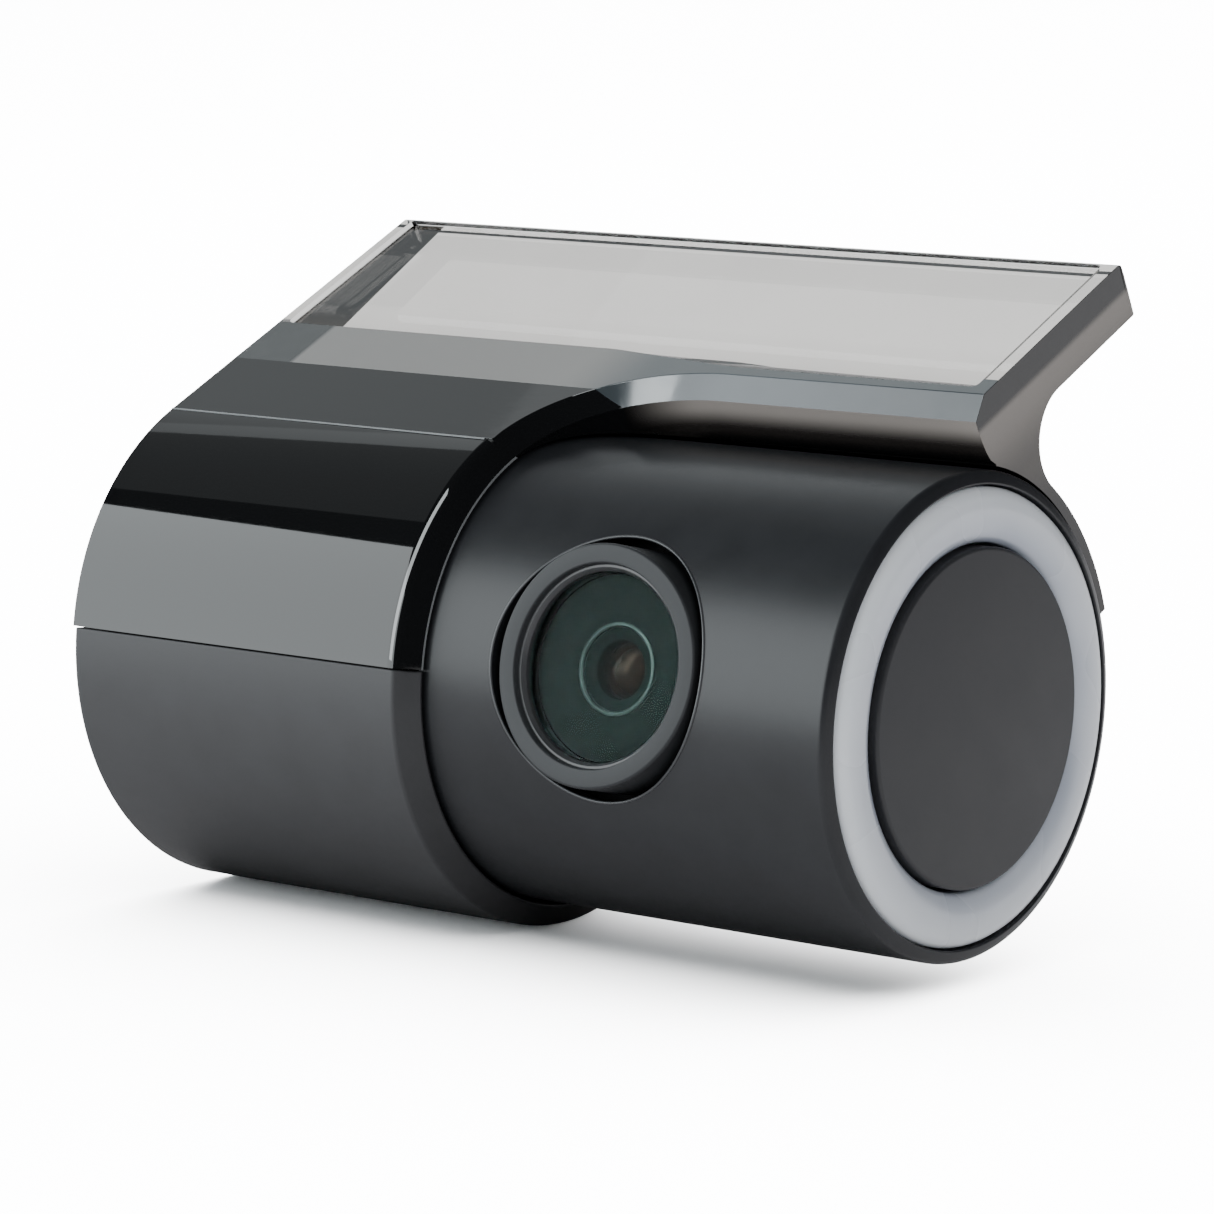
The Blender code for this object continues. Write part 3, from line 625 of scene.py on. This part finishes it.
def sweep_lines():
    """The slanted band's top edge and lower edge, from the crease to past the right end."""
    steps = 40
    upper = []
    lower = []
    lip_shift = SLEEVE_LIP - SLEEVE_RIGHT
    for i in range(steps + 1):
        turn = pi / 2 * i / steps
        share = sin(turn) ** 2
        x = SWEEP_CENTRE_X - SWEEP_LENGTH * cos(turn)
        u = SWEEP_DEPTH * sin(turn)
        upper.append((x, u, PLATE_TOP))
        low_v = LIP_R + (NOSE_TIP[1] - LIP_R) * share
        lower.append((x + lip_shift * cos(turn), u - (SWEEP_DEPTH - NOSE_TIP[0]) * share, low_v))
    rise = 0.25
    upper.append((FAR_RIGHT, SWEEP_DEPTH + rise, PLATE_TOP))
    lower.append((FAR_RIGHT, NOSE_TIP[0] + rise, NOSE_TIP[1]))
    return upper, lower


def sweep_cutter():
    """Everything in front of the swept edge. Under the nose it bites a hollow into the front."""
    upper, lower = sweep_lines()
    loops = []
    for height in (PLATE_TOP + 5, PLATE_TOP):
        loop = [(SLEEVE_RIGHT, FAR_FRONT, height)]
        loop += [(x, u, height) for x, u, _ in upper]
        loops.append(loop + [(FAR_RIGHT, FAR_FRONT, height)])
    # Each loop is one height, with how deep the hollow is there. The first follows the edge itself.
    hollow = ((0.0, None), (0.02, 17.9), (0.1, 17.0), (0.25, 16.1), (0.5, 15.3), (0.95, 14.7))
    hollow_left, hollow_runs_in = -33.0, 9.0
    for bite, height in hollow:
        loop = [(SLEEVE_LIP, FAR_FRONT, height or LIP_R)]
        for x, u, v in lower:
            share = min(1.0, max(0.0, (x - hollow_left) / hollow_runs_in))
            level = v if height is None else min(v, height)
            loop.append((x, u + bite * share, level))
        loop.append((FAR_RIGHT, FAR_FRONT, height or NOSE_TIP[1]))
        loops.append(loop)
    bottom = [(x, u, -5.0) for x, u, _ in loops[-1]]
    loops.append(bottom)
    bm = skin([[(x, *plate_point(u, v)) for x, u, v in loop] for loop in loops])
    bmesh.ops.triangulate(bm, faces=bm.faces)
    return bm


def ring_face_cutter():
    """Slants and rounds the sleeve's right-hand face, from the front seam up to the crease."""
    over = SLEEVE_R + 3
    past = SLEEVE_LIP + 3
    clear = 0.004  # keeps the rounding's start off the sleeve's own surface
    slant = atan2(SLEEVE_R - LIP_R, SLEEVE_LIP - SLEEVE_RIGHT)
    radius = RIM_ROUND / tan(slant / 2)
    centre = (SLEEVE_RIGHT - RIM_ROUND, SLEEVE_R + clear - radius)
    profile = arc(centre, radius, 90, 90 - degrees(slant), 9)
    profile += [(SLEEVE_LIP, LIP_R), (past, LIP_R), (past, over), (centre[0], over)]
    crease, seam = 90 + PLATE_SLOPE, 180 - SEAM_ANGLE
    return turned(profile, SLEEVE_STEPS, crease, seam)


def plan_loop(corners, height):
    """A loop of plan points (x, u[, radius]) at one height in the plate's frame."""
    return [(x, *plate_point(u, height)) for x, u in rounded(corners, 6)]


def plan_prism():
    """The plate's plan with its rounded back corners, which trims both ends."""
    left, right = SLEEVE_LEFT, BRACKET_RIGHT
    below_seam = -14.0
    corners = [(left, FAR_FRONT), (right, FAR_FRONT), (right, PLAN_BACK, PLAN_CORNER_R),
               (left, PLAN_BACK, PLAN_CORNER_R)]
    return skin([plan_loop(corners, height) for height in (below_seam, PLATE_TOP + 8)])


def recess_cutter():
    """The adhesive recess: its front edge bends forward where the swept edge does."""
    left, right = SLEEVE_LEFT + 0.9, BRACKET_RIGHT - 1.3
    near, back = 12.75, 30.9
    corner_r, bend_r = 0.6, 14.0
    base = [(left, RECESS_FRONT, corner_r), (-36.0, RECESS_FRONT, bend_r), (-24.0, near, bend_r)]
    base += [(right, near, corner_r), (right, back, corner_r), (left, back, corner_r)]
    floor = PLATE_TOP - RECESS_DEPTH
    return skin([plan_loop(base, height) for height in (floor, PLATE_TOP + 1)])


def loose(name, bm):
    return as_object(name, bm, BARREL)


def edge_turn(edge):
    return degrees(edge.calc_face_angle(0.0))


def make_bracket():
    """The upper shell with its plate in one mesh: it is cut, rounded, painted and then shaded."""
    bracket = loose("bracket_moulding", prism(sleeve_outline(), SLEEVE_LEFT - 1, SLEEVE_LIP))
    saddle = loose("saddle", prism(saddle_outline(), SLEEVE_LIP - 2, BRACKET_RIGHT + 1))
    combine(bracket, "UNION", [saddle], meets_itself=True)
    cutters = [loose("sweep", sweep_cutter()), loose("slant", ring_face_cutter())]
    cutters.append(loose("recess", recess_cutter()))
    combine(bracket, "DIFFERENCE", cutters, meets_itself=True)
    combine(bracket, "INTERSECT", [loose("plan", plan_prism())], meets_itself=True)
    bm = bmesh.new()
    bm.from_mesh(bracket.data)
    bmesh.ops.remove_doubles(bm, verts=bm.verts, dist=0.02 * MM)
    bmesh.ops.dissolve_limit(bm, angle_limit=radians(0.3), verts=bm.verts, edges=bm.edges)
    round_rims(bm)
    split_paint(bm)
    settle_order(bm)
    for face in bm.faces:
        face.smooth = True
    for edge in bm.edges:
        turn = edge_turn(edge)
        edge.smooth = turn < 28 and not (turn > 9 and on_nose(edge))
    bracket.data.materials.clear()
    for material in BRACKET_FINISHES:
        bracket.data.materials.append(material)
    bm.to_mesh(bracket.data)
    bm.free()
    weights = bracket.modifiers.new("normals", "WEIGHTED_NORMAL")
    weights.keep_sharp = True
    return dress(bracket, "mount", SMOKED, ["mount_bracket"])


def in_plate(point):
    """A mesh point as (x, u, v), in millimetres."""
    slope = radians(PLATE_SLOPE)
    x, y, z = point / MM
    return x, y * cos(slope) + z * sin(slope), z * cos(slope) - y * sin(slope)


def on_nose(edge):
    """Whether an edge lies on the nose's two long creases."""
    x, u, v = in_plate((edge.verts[0].co + edge.verts[1].co) / 2)
    return x > SLEEVE_RIGHT and -0.1 < u < SWEEP_DEPTH + 0.6 and v > NOSE_TIP[1] - 1.5


def on_sweep(edge):
    """Whether an edge is on the slanted band's upper line, over the sweep."""
    x, u, v = in_plate((edge.verts[0].co + edge.verts[1].co) / 2)
    return 0.2 < u < SWEEP_DEPTH + 0.4 and abs(v - PLATE_TOP) < 0.08 and x > SLEEVE_RIGHT - 0.1


def on_end(edge):
    """Whether an edge lies in the plane of either end."""
    return any(all(abs(vert.co.x / MM - end) < 0.01 for vert in edge.verts)
               for end in (SLEEVE_LEFT, BRACKET_RIGHT))


def round_rims(bm):
    """Rounds the slanted band's upper line, then the outlines of the two ends."""
    rims = ((on_sweep, SWEEP_ROUND, 9, 3), (on_end, END_ROUND, 40, 4))
    for belongs, width, least_turn, segments in rims:
        chosen = [edge for edge in bm.edges if belongs(edge) and edge_turn(edge) > least_turn]
        bmesh.ops.bevel(bm, geom=chosen, offset=width * MM, offset_type="OFFSET", segments=segments,
                        profile=0.5, affect="EDGES", clamp_overlap=True, material=-1)


def settle_order(bm):
    """Puts the faces in an order of their own, because bevelling leaves them in a chance one."""
    bm.verts.index_update()
    ordered = sorted(bm.faces, key=lambda face: sorted(vert.index for vert in face.verts))
    places = {face: place for place, face in enumerate(ordered)}
    bm.faces.sort(key=lambda face: places[face])


def halve(bm, point, normal):
    """Splits the faces that a plane crosses."""
    geometry = bm.verts[:] + bm.edges[:] + bm.faces[:]
    bmesh.ops.bisect_plane(bm, geom=geometry, dist=1e-7, plane_co=Vector(point) * MM,
                           plane_no=normal)


def split_paint(bm):
    """Cuts the mesh at the edges of its finishes, painted light and shade among them, and gives each face its own.
    """
    slope = radians(PLATE_SLOPE)
    backward = Vector((0, cos(slope), sin(slope)))
    halve(bm, (0, *plate_point(PAINT_U, 0)), backward)
    (near_x, near_u), (far_x, far_u) = SHADE_LINE
    run = far_x - near_x
    across = Vector((near_u - far_u, run * cos(slope), run * sin(slope)))
    halve(bm, (near_x, *plate_point(near_u, PLATE_TOP)), across)
    halve(bm, (0, *plate_point(RECESS_FRONT, 0)), backward)
    bm.normal_update()
    for face in bm.faces:
        face.material_index = BRACKET_FINISHES.index(bracket_finish(face))


def bracket_finish(face):
    """Paint in front of its edge, then clear plastic, with buried paint in the bore. Painted highlight lies on the
    crease and the lip, painted shade on the back and left rims and on a strip of the recess floor, and painted
    light and shade, standing for what the clear plastic reflects and lets through, on the slanted band, the nose's
    front, the right-hand end and the margin before the recess. The margins of the tests are in millimetres."""
    x, u, v = in_plate(face.calc_center_median())
    facing = in_plate(face.normal * MM)
    in_bore = hypot(u, v) < BORE_R + 0.05
    on_crease = abs(u) < RIDGE[0] and v > PLATE_TOP - 0.01 and abs(facing[0]) < 0.5
    on_lip = abs(x - SLEEVE_LIP) < 0.02 and hypot(u, v) < LIP_R + 0.05 and facing[0] > 0.9
    # Painted highlight on the crease and the lip.
    if on_crease or on_lip:
        return CREASE_PAINTED_HIGHLIGHT
    if u < PAINT_U:
        return PAINT
    # Painted shade on the back and left rims.
    at_back = u > PLATE_BACK - 0.75 and facing[1] > 0.2
    at_left = x < SLEEVE_LEFT + 0.3 and facing[0] < -0.2
    if v > PLATE_TOP - 0.65 and (at_back or at_left):
        return RIM_PAINTED_SHADE
    if in_bore:
        return BURIED
    # Painted light and shade on the right-hand end.
    if abs(x - BRACKET_RIGHT) < END_ROUND + 0.02 and facing[0] > 0.3:
        return END_FACE_PAINTED_LIGHT
    # Painted reflection on the slanted band, and painted light and shade on the nose's front below it.
    if x > SLEEVE_RIGHT and u < SWEEP_DEPTH + 0.5 and facing[1] < -0.1:
        return BAND_PAINTED_REFLECTION if v > NOSE_TIP[1] - 0.02 else NOSE_PAINTED_LIGHT_SHADE
    # Painted light and shade on the margin before the recess.
    if u < RECESS_FRONT + 0.1 and v > PLATE_TOP - 0.05:
        return MARGIN_PAINTED_LIGHT_SHADE
    # Painted shade: the recess floor left of this line gets the darker tint.
    (near_x, near_u), (far_x, far_u) = SHADE_LINE
    shade_x = near_x + (far_x - near_x) * (u - near_u) / (far_u - near_u)
    on_floor = abs(v - PLATE_TOP + RECESS_DEPTH) < 0.02
    if x < shade_x and on_floor:
        return PAINTED_SHADE_PLASTIC
    return SMOKED


def make_lower_cover():
    """The matte half of the sleeve, from the front seam under the barrel to the back seam."""
    profile = rounded([(SLEEVE_LEFT, BORE_R), (SLEEVE_LEFT, SLEEVE_R, 0.6),
                       (SLEEVE_RIGHT, SLEEVE_R, 0.5), (SLEEVE_LIP, LIP_R, 0.12),
                       (SLEEVE_LIP, BORE_R)])
    gap = 0.35  # degrees
    shell = turned(profile, 150, 180 - SEAM_ANGLE + gap, 360 + SEAM_ANGLE - gap)
    cover = piece("lower_cover_moulding", shell, BARREL, "mount", MATTE,
                  ["sleeve_lower_cover"])
    soften(cover, 0.1)


# The barrel ----------------------------------------------------------------------------------


def make_barrel():
    """The shell with its lens hole, five vents low at the back and three speaker slots below."""
    rim_x, seat_r = 0.43, 16.95
    seat_x, wall_x = -3.1, BARREL_STEP - 1.6
    profile = rounded([(BARREL_LEFT, NECK_BORE_R), (BARREL_LEFT, NECK_R, 0.3),
                       (BARREL_STEP, NECK_R), (BARREL_STEP, BARREL_R, 0.2),
                       (0.0, BARREL_R, 0.55), (rim_x, seat_r, 0.12),
                       (seat_x, seat_r), (seat_x, WALL_BORE_R), (wall_x, WALL_BORE_R),
                       (wall_x, NECK_BORE_R)], 6)
    barrel = as_object("barrel_shell", turned(profile, 256), CAMERA)
    hole = as_object("hole", rod(LENS_HOLE_R, 8, 24, 160), LENS)
    cutters = [hole]
    for i in range(5):
        cutters.append(slot_cutter(VENT_X + i * SLOT_PITCH, VENT_ANGLE, 7.0, 1.1))
    for i in range(3):
        cutters.append(slot_cutter(SPEAKER_X + i * SLOT_PITCH, 270, 5.0, 1.0))
    combine(barrel, "DIFFERENCE", cutters)
    shade(barrel, 30)
    soften(barrel, 0.16)
    dress(barrel, "camera", SATIN, ["camera_barrel"])
    make_hole_edge()


def make_hole_edge():
    """A thin round edge on the line where the lens hole leaves the barrel."""
    edge_r, steps = 0.11, 160
    loops = []
    for i in range(steps):
        turn = 2 * pi * i / steps
        across, up = LENS_HOLE_R * cos(turn), LENS_HOLE_R * sin(turn)
        out = sqrt(BARREL_R**2 - up**2)
        loops.append([(out + rise, across + spill * cos(turn), up + spill * sin(turn))
                      for spill, rise in arc((0, 0), edge_r, 0, 330, 11)])
    # Its lighter grey paints part of the edge's highlight.
    piece("hole_edge", skin(loops, capped=False), LENS, "camera", HOLE_EDGE_PAINTED_HIGHLIGHT, angle=60)


def slot_cutter(x, angle, length, width):
    """A round-ended slot round the barrel, at a turn about its axis from straight up."""
    half, end_r = length / 2, width / 2
    outline = arc((half, 0), end_r, -90, 90, 8) + arc((-half, 0), end_r, 90, 270, 8)
    loops = [[(py, px, level) for px, py in outline] for level in (12.0, 22.0)]
    place = CAMERA @ Matrix.Translation((x * MM, 0, 0)) @ Matrix.Rotation(radians(angle), 4, "X")
    return as_object("slot", skin(loops), place)


def make_light_end():
    """The light guide, crowned between its two edges, and the disc inside it."""
    inner, outer, face = LIGHT_INNER_R, LIGHT_OUTER_R, 0.43
    crown = [(face - 0.5, outer)]
    crown += [(face - 0.35, outer - 0.06), (face + 0.05, outer - 0.32), (face + 0.36, outer - 0.85)]
    crown += [(face + 0.5, outer - 1.6), (face + 0.5, outer - 2.3), (face + 0.38, outer - 3.0)]
    crown += [(face + 0.12, outer - 3.6), (face - 0.2, inner + 0.06), (face - 0.5, inner)]
    profile = [(-2.9, inner), (-2.9, outer), *crown]
    piece("light_guide_ring", turned(profile, 160), CAMERA, "camera", FROSTED,
          ["light_ring"], 40)
    disc = rounded([(-1.4, 0.0), (-1.4, 12.5), (0.9, 12.5, 0.28), (0.9, 0.0)], 5, closed=False)
    piece("charcoal_end_disc", turned(disc, 128), CAMERA, "camera", DISC,
          ["end_disc"])


# The lens ------------------------------------------------------------------------------------


def dome(top_x, radius, rings):
    """A bulging lens face: (x, radius) points on a sphere whose top is at top_x."""
    return [(top_x - (radius - sqrt(radius**2 - r**2)), r) for r in rings]


def make_lens():
    """The rings, cones and elements of the lens. Returns the two elements."""
    ring = rounded([(12.3, TRIM_OUTER_R), (18.0, TRIM_OUTER_R, 0.22), (18.0, 7.5, 0.14),
                    (17.3, TRIM_INNER_R), (12.3, TRIM_INNER_R)], 5)
    piece("trim_ring_turned", turned(ring, 160), LENS, "camera", TRIM,
          ["lens_trim_ring"])
    seat = rounded([(10.0, 10.6, 0.2), (11.0, 10.6, 0.2), (11.0, 8.9), (12.25, 8.9),
                    (12.25, TRIM_INNER_R), (10.0, TRIM_INNER_R)], 4)
    piece("trim_ring_seat", turned(seat, 96), LENS, "camera", INNER_BLACK)
    cell = rounded([(16.4, 6.98), (16.4, 7.4), (17.5, 7.4), (17.5, 7.22, 0.04),
                    (17.15, 6.98, 0.05)], 3)
    piece("retaining_ring_turned", turned(cell, 160), LENS, "camera", THREAD_BLACK,
          ["lens_retaining_ring"])
    rings = (0.0, 1.0, 2.0, 3.0, 4.0, 5.0, 6.0, 6.9)
    back = [(15.86 + 0.003 * r * r, r) for r in rings]
    front_face = dome(17.3, 56.0, reversed(rings))
    front = piece("front_element", turned(back + front_face, 128), LENS, "camera",
                  FRONT_GLASS, ["lens_front_element"])
    cone = rounded([(14.4, 3.55), (14.4, 6.85), (15.7, 6.85), (15.7, 6.6, 0.1),
                    (15.2, 3.3, 0.1)], 4)
    piece("baffle_cone", turned(cone, 128), LENS, "camera", BAFFLE, ["lens_baffle"])
    lip = rounded([(14.3, 3.15), (14.3, 3.4), (15.28, 3.4, 0.05), (15.36, 3.22, 0.05),
                   (15.2, 3.1, 0.05)], 4)
    piece("pupil_lip", turned(lip, 96), LENS, "camera", PUPIL_LIP)
    inner_cone = rounded([(13.9, 2.1), (13.9, 3.05), (15.1, 3.05), (15.05, 2.9),
                          (14.75, 2.15, 0.1)], 3)
    piece("pupil_cone", turned(inner_cone, 96), LENS, "camera", BAFFLE)
    pupil_r = 2.05
    pupil = [(12.0, 0.0), (12.0, pupil_r)]
    pupil += dome(14.85, 2.3, (pupil_r, 1.8, 1.5, 1.2, 0.8, 0.4, 0.0))
    second = piece("second_element", turned(pupil, 96), LENS, "camera", PUPIL_GLASS,
                   ["lens_second_element"])
    return front, second


# The left-hand end ---------------------------------------------------------------------------

CAP_OUTSIDE = -71.0  # where the cap's cutters begin and end along X
CAP_INSIDE = -67.0


def on_cap(y, z):
    """The matrix of a place on the end cap."""
    return CAMERA @ Matrix.Translation((0, y * MM, z * MM))


def make_end_cap():
    """The left-hand cap, with windows for the power socket and the card, holes and a groove."""
    spigot_x, spigot_r = -66.4, 15.1
    profile = rounded([(END_CAP_FACE, 0.0), (END_CAP_FACE, 17.9, 0.45), (-69.3, 17.9),
                       (-69.3, spigot_r), (spigot_x, spigot_r, 0.2), (spigot_x, 13.6),
                       (-68.2, 13.6), (-68.2, 0.0)], 5, closed=False)
    cap = as_object("end_cap_moulding", turned(profile, 160), CAMERA)
    windows = [rounded_window(1.1, 5.1, -0.1, 9.7, 1.6),
               rounded_window(7.05, 8.45, -5.95, 5.95, 0.4)]
    for radius, place in ((2.75, VIDEO_PLACE), (2.65, BUTTON_PLACE), (0.7, MICROPHONE_PLACE)):
        windows.append(as_object("hole", rod(radius, CAP_OUTSIDE, CAP_INSIDE), on_cap(*place)))
    for z in SCREW_HEIGHTS:
        place = on_cap(SCREW_Y, z)
        windows.append(as_object("hole", rod(1.9, CAP_OUTSIDE, -69.2), place))
        windows.append(as_object("hole", rod(1.2, CAP_OUTSIDE, -66.0, 24), place))
    groove = rounded([(CAP_OUTSIDE, 16.0), (CAP_OUTSIDE, 16.35), (-69.95, 16.35), (-69.95, 16.0)])
    windows.append(as_object("groove", turned(groove, 160), CAMERA))
    combine(cap, "DIFFERENCE", windows)
    shade(cap)
    soften(cap, 0.12)
    dress(cap, "camera", GREY_PLASTIC, ["end_cap"])


def rounded_window(y0, y1, z0, z1, radius):
    outline = rounded([(y0, z0, radius), (y1, z0, radius), (y1, z1, radius), (y0, z1, radius)], 6)
    return as_object("window", prism(outline, CAP_OUTSIDE, CAP_INSIDE), CAMERA)


def make_button():
    """The button with its inner flange and a dimple for the finger."""
    radius, flange_r = 2.35, 3.0
    press = rounded([(-70.6, 0.0), (-70.6, radius, 0.45), (-67.9, radius), (-67.9, flange_r),
                     (-67.2, flange_r), (-67.2, 0.0)], 5, closed=False)
    seat = on_cap(*BUTTON_PLACE)
    button = as_object("button_cap", turned(press, 64), seat)
    dimple = turned([(-70.45, 0.0), (-70.52, 0.8), (-70.75, 1.4), (CAP_OUTSIDE, 1.4),
                     (CAP_OUTSIDE, 0.0)], 48)
    combine(button, "DIFFERENCE", [as_object("dimple", dimple, seat)])
    shade(button)
    dress(button, "button", SATIN, ["function_button"])


def make_screws():
    """Two cross-head screws, each with its shank."""
    head_r, shank_r = 1.65, 0.85
    profile = rounded([(-70.1, 0.0), (-70.1, 1.1, 0.5), (-69.8, head_r, 0.2), (-69.45, head_r),
                       (-69.45, shank_r), (-66.2, shank_r, 0.3), (-66.2, 0.0)], 5, closed=False)
    for number, z in enumerate(SCREW_HEIGHTS, 1):
        place = on_cap(SCREW_Y, z)
        screw = as_object(f"cap_screw_{number}_head", turned(profile, 48), place)
        cutters = []
        for spin in (20, 110):
            slot = block((-70.3, -1.0, -0.17), (-69.7, 1.0, 0.17))
            cutters.append(as_object("slot", slot, place @ Matrix.Rotation(radians(spin), 4, "X")))
        combine(screw, "DIFFERENCE", cutters, meets_itself=True)
        shade(screw)
        soften(screw, 0.03, 2)
        dress(screw, "camera", STEEL, [f"cap_screw_{number}"])


def make_internals():
    """The CAD nodes that stay visible get finishes of their own and softened edges."""
    slots = {part["node"]: part["material_slot"] for part in frame["record"]["subparts"]}
    for name, node in frame["nodes"].items():
        if node.hide_render:
            continue
        node.data.materials.clear()
        node.data.materials.append(NODE_FINISHES[slots[name]])
        soften(node, 0.08, 2, 40)


# Stage ---------------------------------------------------------------------------------------

VIEW_FROM = PIVOT + Vector((214.5, -308.1, 65.0)) * MM
VIEW_TO = PIVOT + Vector((-33.6, 0.0, 4.9)) * MM
FOCAL_LENGTH = 155.9  # on a sensor 36 mm wide
LIGHTS_AIM = PIVOT + Vector((-35.0, 0.0, 0.0)) * MM
WHITE = 15.0  # strength of the background where the camera sees it
THROUGH = 1.4  # and where it is seen through the clear plastic
PAPER_WHITE = (1.0, 1.0, 0.99, 1)


def ray_switches(tree):
    """Two sockets: 1 for what the camera sees directly, and 1 for what is seen through plastic."""
    path = tree.nodes.new("ShaderNodeLightPath")
    return path.outputs["Is Camera Ray"], path.outputs["Is Transmission Ray"]


def make_floor():
    """A white floor just under the sleeve. It is dark in reflections and bounces little light."""
    size = 6000.0
    height = -SLEEVE_R - 0.02
    bm = bmesh.new()
    corners = [(-size, -size), (size, -size), (size, size), (-size, size)]
    bm.faces.new([bm.verts.new((x, y, height)) for x, y in corners])
    floor = as_object("floor", bm, BARREL)
    material, tree, shader = new_material("studio_floor")
    shader.inputs["Roughness"].default_value = 0.9
    shader.inputs["Specular IOR Level"].default_value = 0.0
    direct, through = ray_switches(tree)
    tint = blend_colours(tree, direct, (0.075, 0.075, 0.077), (0.9, 0.905, 0.915))
    tree.links.new(tint, shader.inputs["Base Color"])
    lit = tree.nodes.new("ShaderNodeEmission")
    lit.inputs["Color"].default_value = PAPER_WHITE
    lit.inputs["Strength"].default_value = THROUGH
    mix = tree.nodes.new("ShaderNodeMixShader")
    tree.links.new(through, mix.inputs["Fac"])
    tree.links.new(shader.outputs["BSDF"], mix.inputs[1])
    tree.links.new(lit.outputs["Emission"], mix.inputs[2])
    tree.links.new(mix.outputs["Shader"], tree.nodes["Material Output"].inputs["Surface"])
    floor.data.materials.append(material)
    return floor


def make_world():
    """White where it is seen, dim where it lights or is mirrored, as in a black-lined studio."""
    world = bpy.data.worlds.new("studio")
    world.use_nodes = True
    bpy.context.scene.world = world
    tree = world.node_tree

    def background(colour, strength, node=None):
        node = node or tree.nodes.new("ShaderNodeBackground")
        node.inputs["Color"].default_value = colour
        node.inputs["Strength"].default_value = strength
        return node.outputs["Background"]

    def mixed(factor, first, second):
        mix = tree.nodes.new("ShaderNodeMixShader")
        tree.links.new(factor, mix.inputs["Fac"])
        tree.links.new(first, mix.inputs[1])
        tree.links.new(second, mix.inputs[2])
        return mix.outputs["Shader"]

    dim = background((0.9, 0.95, 1.0, 1), 0.07, tree.nodes["Background"])
    through_white = background(PAPER_WHITE, THROUGH)
    white = background((1, 1, 1, 1), WHITE)
    direct, through = ray_switches(tree)
    surface = mixed(direct, mixed(through, dim, through_white), white)
    tree.links.new(surface, tree.nodes["World Output"].inputs["Surface"])


def panel(name, towards, distance, width, height, radiance, colour=(1, 1, 1), upright=False):
    """A soft rectangular light in a direction from the object, facing it. Sizes are in metres.
    An upright one faces the object's axis level, without tipping towards it."""
    light = bpy.data.lights.new(name, "AREA")
    light.shape = "RECTANGLE"
    light.size = width
    light.size_y = height
    light.color = colour
    light.energy = radiance * pi * width * height
    obj = bpy.data.objects.new(name, light)
    bpy.context.scene.collection.objects.link(obj)
    direction = Vector(towards).normalized()
    obj.location = LIGHTS_AIM + direction * distance
    facing = Vector((direction.x, direction.y, 0)) if upright else direction
    obj.rotation_euler = facing.to_track_quat("Z", "Y").to_euler()
    obj.visible_camera = False
    return obj


def shine_only_on(light, name, objects):
    """Links a light to some objects, so that no other receives it."""
    receivers = bpy.data.collections.new(name)
    for obj in objects:
        receivers.objects.link(obj)
    light.light_linking.receiver_collection = receivers


def floor_light(floor):
    """Light for the floor alone, which the object shades: it makes the soft contact shadow."""
    light = panel("floor_wash", (0.1, 0.25, 1), 2.0, 7.0, 7.0, 21.0)
    shine_only_on(light, "floor_only", [floor])
    light.visible_glossy = False
    light.visible_transmission = False


def make_lights(floor, glossy):
    """Each panel makes one of the highlights. The fill gives none and only lifts the shadows."""
    cool = (0.94, 1.0, 1.02)
    panel("left_front_softbox", (-0.62, -0.75, 0.36), 1.0, 1.9, 0.86, 5.2, cool, upright=True)
    strip = panel("front_strip", (-0.16, -0.72, 0.62), 1.0, 0.34, 1.4, 12.0, cool)
    strip.visible_diffuse = False
    shine_only_on(strip, "glossy_pieces", glossy)
    panel("back_left_panel", (-0.62, 0.66, 0.45), 1.0, 1.1, 0.26, 2.3, cool)
    panel("overhead_panel", (-0.62, 0.2, 0.77), 1.0, 1.1, 0.24, 0.24, cool)
    panel("top_left_panel", (-0.62, 0.44, 0.62), 1.0, 1.1, 0.28, 0.66, cool)
    fill = panel("right_fill", (0.8, -0.35, 0.5), 1.0, 0.8, 0.8, 3.2)
    fill.visible_glossy = False
    floor_light(floor)


def make_camera():
    data = bpy.data.cameras.new("view")
    data.sensor_width = 36.0
    data.lens = FOCAL_LENGTH
    data.clip_start = 0.01
    data.clip_end = 50.0
    camera = bpy.data.objects.new("view", data)
    bpy.context.scene.collection.objects.link(camera)
    camera.location = VIEW_FROM
    camera.rotation_euler = (VIEW_TO - VIEW_FROM).to_track_quat("-Z", "Y").to_euler()
    bpy.context.scene.camera = camera


bracket = make_bracket()
make_lower_cover()
make_barrel()
make_light_end()
lenses = make_lens()
make_end_cap()
make_button()
make_screws()
make_internals()
make_world()
make_lights(make_floor(), [bracket, *lenses])
make_camera()
